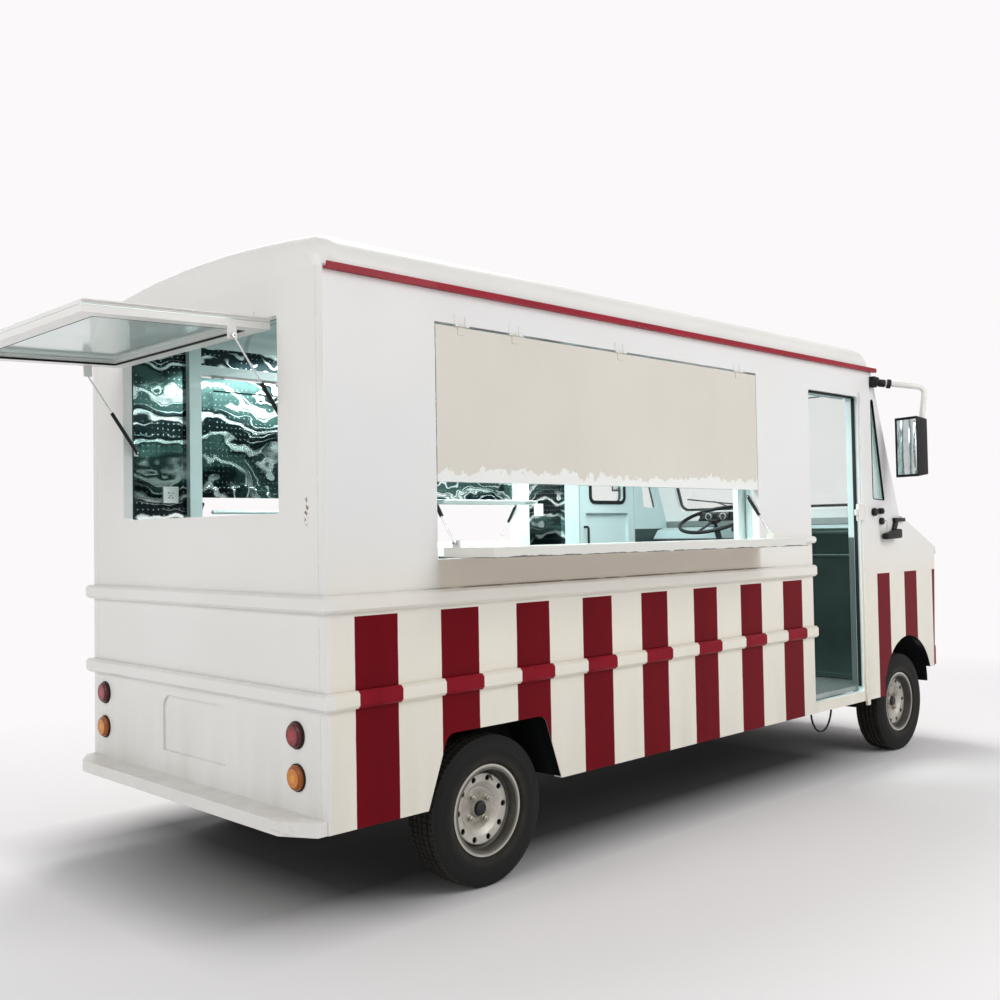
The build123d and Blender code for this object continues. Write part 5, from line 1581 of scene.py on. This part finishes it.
bulkhead = block("bulkhead", (along(4.374), -0.938, 0.506), (along(4.382), -0.120, 1.500))
inset_faces(bulkhead, lambda c, n: n.x < -0.9, 0.030, sunk=-0.004)
fold = block("fold", (along(4.366), -0.936, 1.316), (along(4.376), -0.122, 1.336))
fold_top = block("fold_top", (along(4.366), -0.938, 1.498), (along(4.520), -0.120, 1.512))
lining = joined(
    [soften(bulkhead, 0.002), soften(fold, 0.004, 3), soften(fold_top, 0.004, 3)], "bulkhead_lining"
)
dull_steel = Finish("bulkhead_steel")
grain = dull_steel.noise(1.0, 3, dull_steel.stretched(120, 6, 6))
cloud = dull_steel.noise(1.6, 3)
tone = (cloud * 0.8 + grain * 0.2).blend(colour("1f2c2a"), colour("4c5d59"))
wear(lining, dull_steel.done(tone, 0.30 + cloud * 0.15, 0.85, grain, 0.0003), "body")
print("Dashboard top at", round(dash_top, 3))

# %% [markdown]
# ## The driver's seat
#
# The seat is foam under a dark woven cloth. Foam that is held by stitched panels swells between its
# seams, so each pad starts as a rounded block that is a little too small. It is remeshed evenly and
# blown up by Blender's cloth simulation, with a limit on how far a point may move. The piping is put
# on afterwards, since a remesh would wipe it away.

# %% Seat cloth


def seat_cloth(name, shade, light):
    cloth = Finish(name)
    warp = (cloth.y * (2 * pi / 0.0024)).wave()
    weft = ((cloth.x + cloth.z) * (2 * pi / 0.0024)).wave()
    weave = warp * weft
    cloud = cloth.noise(7, 4)
    look = (weave * 0.35 + 0.3).blend(colour(shade), colour(light))
    look = ((cloud - 0.45) * 0.6).blend(look, colour("6a6b6c"))
    return cloth.done(look, 0.85 + cloud * 0.1, 0.0, weave, 0.0006, sheen_weight=0.35, sheen_roughness=0.5)


def swell(piece, cap, pressure=4.0, voxel=0.007):
    """Remeshes a closed pad and lets air pressure round it, each point moving at most cap."""
    pick_none()
    piece.select_set(True)
    bpy.context.view_layer.objects.active = piece
    remesh = piece.modifiers.new("even", "REMESH")
    remesh.mode = "VOXEL"
    remesh.voxel_size = voxel
    bpy.ops.object.modifier_apply(modifier=remesh.name)
    before = [v.co.copy() for v in piece.data.vertices]
    cloth = piece.modifiers.new("air", "CLOTH")
    cloth.settings.use_pressure = True
    cloth.settings.uniform_pressure_force = pressure
    cloth.settings.effector_weights.gravity = 0
    cloth.settings.quality = 5
    cloth.point_cache.frame_start = 1
    cloth.point_cache.frame_end = 20
    for step in range(1, 21):
        bpy.context.scene.frame_set(step)
    bpy.ops.object.modifier_apply(modifier=cloth.name)
    bpy.context.scene.frame_set(1)
    for vertex, start in zip(piece.data.vertices, before):
        move = vertex.co - start
        if move.length > cap:
            vertex.co = start + move.normalized() * cap
    smooth = piece.modifiers.new("calm", "SMOOTH")
    smooth.factor = 0.5
    smooth.iterations = 3
    bpy.ops.object.modifier_apply(modifier=smooth.name)
    round_off = piece.modifiers.new("round", "SUBSURF")
    round_off.levels = round_off.render_levels = 1
    bpy.ops.object.modifier_apply(modifier=round_off.name)
    bpy.ops.object.shade_smooth()
    return piece


# %% Seat pads
seat_low, seat_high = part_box("seat_cushions")
seat_x = seat_high.x - 0.235
pad_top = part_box("seat_frame")[1].z
pad_half = 0.222
back_half = 0.215
cushion = block(
    "seat_cushion",
    (seat_x - 0.212, column_y - pad_half, pad_top + 0.004),
    (seat_x + 0.224, column_y + pad_half, pad_top + 0.092),
)
edit(cushion)
bpy.ops.mesh.select_all(action="SELECT")
bpy.ops.mesh.subdivide(number_cuts=3)
pick_none()
for vertex in cushion.data.vertices:
    if vertex.co.z > pad_top + 0.06:
        across = abs(vertex.co.y - column_y) / pad_half
        vertex.co.z += 0.010 * max(0.0, (across - 0.55) / 0.45) - 0.004
cushion = swell(soften(cushion, 0.024, 4, 60), 0.010)

lean_foot = Vector((seat_x - 0.150, column_y, 0.925))
lean_head = Vector((seat_x - 0.246, column_y, 1.392))
lean = (lean_head - lean_foot).normalized()
front = Vector((lean.z, 0, -lean.x))
backrest = block("seat_back", (-0.040, -back_half, 0.0), (0.034, back_half, (lean_head - lean_foot).length))
edit(backrest)
bpy.ops.mesh.select_all(action="SELECT")
bpy.ops.mesh.subdivide(number_cuts=5)
pick_none()
for vertex in backrest.data.vertices:
    high = vertex.co.z / (lean_head - lean_foot).length
    wide = 1 - 0.16 * high * high
    hollow = 0.016 * (1 - (vertex.co.y / back_half) ** 2) if vertex.co.x > 0 else 0
    spot = lean_foot + lean * vertex.co.z + front * (vertex.co.x - hollow + 0.010 * sin(high * pi))
    vertex.co = spot + Vector((0, vertex.co.y * wide, 0))
outwards(backrest)
backrest = swell(soften(backrest, 0.022, 4, 60), 0.010)
dark_cloth = seat_cloth("seat_cloth", "1c1d20", "34363a")
for pad in (cushion, backrest):
    wear(pad, dark_cloth, "body")
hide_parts("seat_cushions")

piping = []
seam_z = pad_top + 0.084
proud = 0.004
ring = [
    (seat_x + 0.222 + proud, column_y - 0.205, seam_z),
    (seat_x + 0.222 + proud, column_y + 0.205, seam_z),
    (seat_x - 0.205, column_y + pad_half + proud, seam_z),
    (seat_x - 0.205, column_y - pad_half - proud, seam_z),
]
piping.append(tube("cushion_piping", ring, 0.0035, bend=0.05, closed=True))
edge = []
for up, y, forth in ((0.03, 0.206, 0.044), (0.40, 0.178, 0.052), (0.462, 0.14, 0.044)):
    edge.append(lean_foot + lean * up + front * (forth - 0.012) + Vector((0, y, 0)))
both = edge + [Vector((p.x, 2 * column_y - p.y, p.z)) for p in reversed(edge)]
piping.append(tube("back_piping", both, 0.0035, bend=0.05))
wear(joined(piping, "seat_piping"), rubber_seal("piping_vinyl", "25262a"), "body")
print("Seat pads", [round(v, 3) for v in seat_high - seat_low])

# %% [markdown]
# ## The cable below the sill
#
# A cable hangs in a loop below the right doorway's sill. A cable is one smooth curve of a fixed
# length, so it is drawn as a NURBS line along the same points as the CAD cable.

# %% Sill cable
cable_y = -0.931
cable_route = [
    (3.590, 0.470),
    (3.590, 0.385),
    (3.624, 0.306),
    (3.690, 0.264),
    (3.764, 0.270),
    (3.820, 0.322),
    (3.844, 0.395),
    (3.844, 0.470),
]
curve = bpy.data.curves.new("sill_cable_line", "CURVE")
curve.dimensions = "3D"
curve.resolution_u = 16
curve.bevel_depth = 0.006
curve.bevel_resolution = 5
line = curve.splines.new("NURBS")
line.points.add(len(cable_route) - 1)
for spot, (x, z) in zip(line.points, cable_route):
    spot.co = (along(x), cable_y, z, 1)
line.order_u = 3
line.use_endpoint_u = True
cable = bpy.data.objects.new("sill_cable_hung", curve)
bpy.context.scene.collection.objects.link(cable)
wear(cable, rubber_seal("cable_jacket", "191919"), "body")
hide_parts("sill_cable")
print("Cable points", len(cable_route))

# %% [markdown]
# ## The wipers
#
# Two wipers rest on the windscreen's lower edge. Each is a round boss on the screen's own slope, a bent
# tube for the arm and a thinner tube for the blade.

# %% Wipers
screen_out = Vector((up_screen.z, 0, -up_screen.x))
wipers = []
for y in (-0.42, 0.16):
    pivot = screen_foot + up_screen * 0.010 + Vector((0, y, 0)) + screen_out * 0.002
    wipers.append(soften(drum("wiper_boss", pivot, screen_out, 0.018, 0.026, 24), 0.004, 3))
    tip = screen_foot + up_screen * 0.150 + Vector((0, y + 0.34, 0)) + screen_out * 0.024
    wipers.append(
        tube(
            "wiper_arm",
            [
                pivot + screen_out * 0.022,
                pivot + screen_out * 0.030 + Vector((0, 0.10, 0)) + up_screen * 0.045,
                tip,
            ],
            0.005,
            bend=0.05,
        ),
    )
    blade_low = screen_foot + up_screen * 0.118 + Vector((0, y + 0.09, 0)) + screen_out * 0.012
    blade_high = screen_foot + up_screen * 0.178 + Vector((0, y + 0.57, 0)) + screen_out * 0.012
    wipers.append(tube("wiper_blade", [blade_low, blade_high], 0.0055))
wear(joined(wipers, "wipers"), casing_black, "body")
print("Wipers made")

# %% [markdown]
# ## Floor, light and background
#
# The truck stands on a pale floor under a pale background. The studio light is plain and soft: large
# lamps on the kerb side, behind, above and on the far side, a small one in the kitchen and a faint one
# in the cab, and an even white world. The floor carries a painted shadow under the truck.

# %% Floor and world
floor = block("studio_floor", (-160, -160, -0.02), (160, 160, 0.0))
edit(floor)
bpy.ops.mesh.select_all(action="SELECT")
bpy.ops.mesh.subdivide(number_cuts=4)
pick_none()
ground = Finish("studio_floor_paint")
shade = ground.noise(0.4, 2)
tone = (shade * 0.2).blend(colour("f4f2f2"), colour("efedee"))
# a painted shadow: the floor's colour turns dark under the truck
under = (1 - (ground.x.size() - 2.30).above(0.0, 0.9)) * (1 - (ground.y - 0.25).size().above(1.05, 0.5))
tone = (under * 0.94).blend(tone, colour("3a3b3a"))
ground_shader = ground.node("ShaderNodeBsdfPrincipled", None, {"Base Color": tone, "Roughness": 0.9})
pale = ground.node("ShaderNodeEmission", None, {"Color": colour("fcf9fa"), "Strength": 1.0})
oval = ground.node("ShaderNodeVectorMath", {"operation": "MULTIPLY"}, {0: ground.place, 1: (0.62, 1.0, 1.0)})
distance = ground.node("ShaderNodeVectorMath", {"operation": "LENGTH"}, {0: oval}, out=1)
far = distance.above(3.6, 3.0)
seen_straight = ground.node("ShaderNodeLightPath", out=0).either(ground.node("ShaderNodeLightPath", out=3))
mixed = ground.node("ShaderNodeMixShader", None, {0: far * seen_straight, 1: ground_shader, 2: pale})
ground.node("ShaderNodeOutputMaterial", None, {"Surface": mixed})
floor.data.materials.append(ground.material)
floor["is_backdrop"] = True

world = bpy.data.worlds.new("studio_air")
bpy.context.scene.world = world
world.use_nodes = True
air = Wire(world.node_tree)
world.node_tree.nodes.clear()
rays = [
    air.node("ShaderNodeLightPath", out=0),
    air.node("ShaderNodeLightPath", out=3),
    air.node("ShaderNodeLightPath", out=6),
]
seen = rays[0].either(rays[1]).either(rays[2])
light_air = air.node("ShaderNodeBackground", None, {"Color": colour("f6f7f8"), "Strength": 0.36})
pale_air = air.node("ShaderNodeBackground", None, {"Color": colour("fcf9fa"), "Strength": 1.0})
both_airs = air.node("ShaderNodeMixShader", None, {0: seen, 1: light_air, 2: pale_air})
exit_node = world.node_tree.nodes.new("ShaderNodeOutputWorld")
world.node_tree.links.new(both_airs.socket, exit_node.inputs["Surface"])


def lamp(name, spot, target, size, power, shade="ffffff"):
    """A square soft lamp that faces a point."""
    data = bpy.data.lights.new(name, "AREA")
    data.shape = "SQUARE"
    data.size = size
    data.energy = power
    data.color = colour(shade)[:3]
    made = bpy.data.objects.new(name, data)
    bpy.context.scene.collection.objects.link(made)
    aim = (Vector(target) - Vector(spot)).to_track_quat("-Z", "Y").to_matrix().to_4x4()
    made.matrix_world = Matrix.Translation(Vector(spot)) @ aim
    return made


lamp("key_light", (1.5, -8.0, 6.0), (0, 0, 1.4), 6.0, 385)
lamp("back_light", (-9.0, -1.0, 5.0), (-2, 0, 1.5), 5.0, 250)
lamp("top_light", (3.0, 4.0, 9.0), (0, 0, 1.0), 4.0, 480)
lamp("far_light", (4.0, 8.0, 6.0), (0, 0, 1.2), 6.0, 160)
lamp("kitchen_light", (0.0, 0.0, 2.60), (0, 0, 1.0), 1.8, 110, "f2fbfb")
lamp("cab_light", (along(3.75), 0.0, 2.60), (along(3.9), 0, 1.0), 0.6, 8, "f2fbfb")
print("Stage and lights ready")

# %% Finish
low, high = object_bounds()
print("Dressed size", [round(v, 3) for v in high - low])
pick_none()
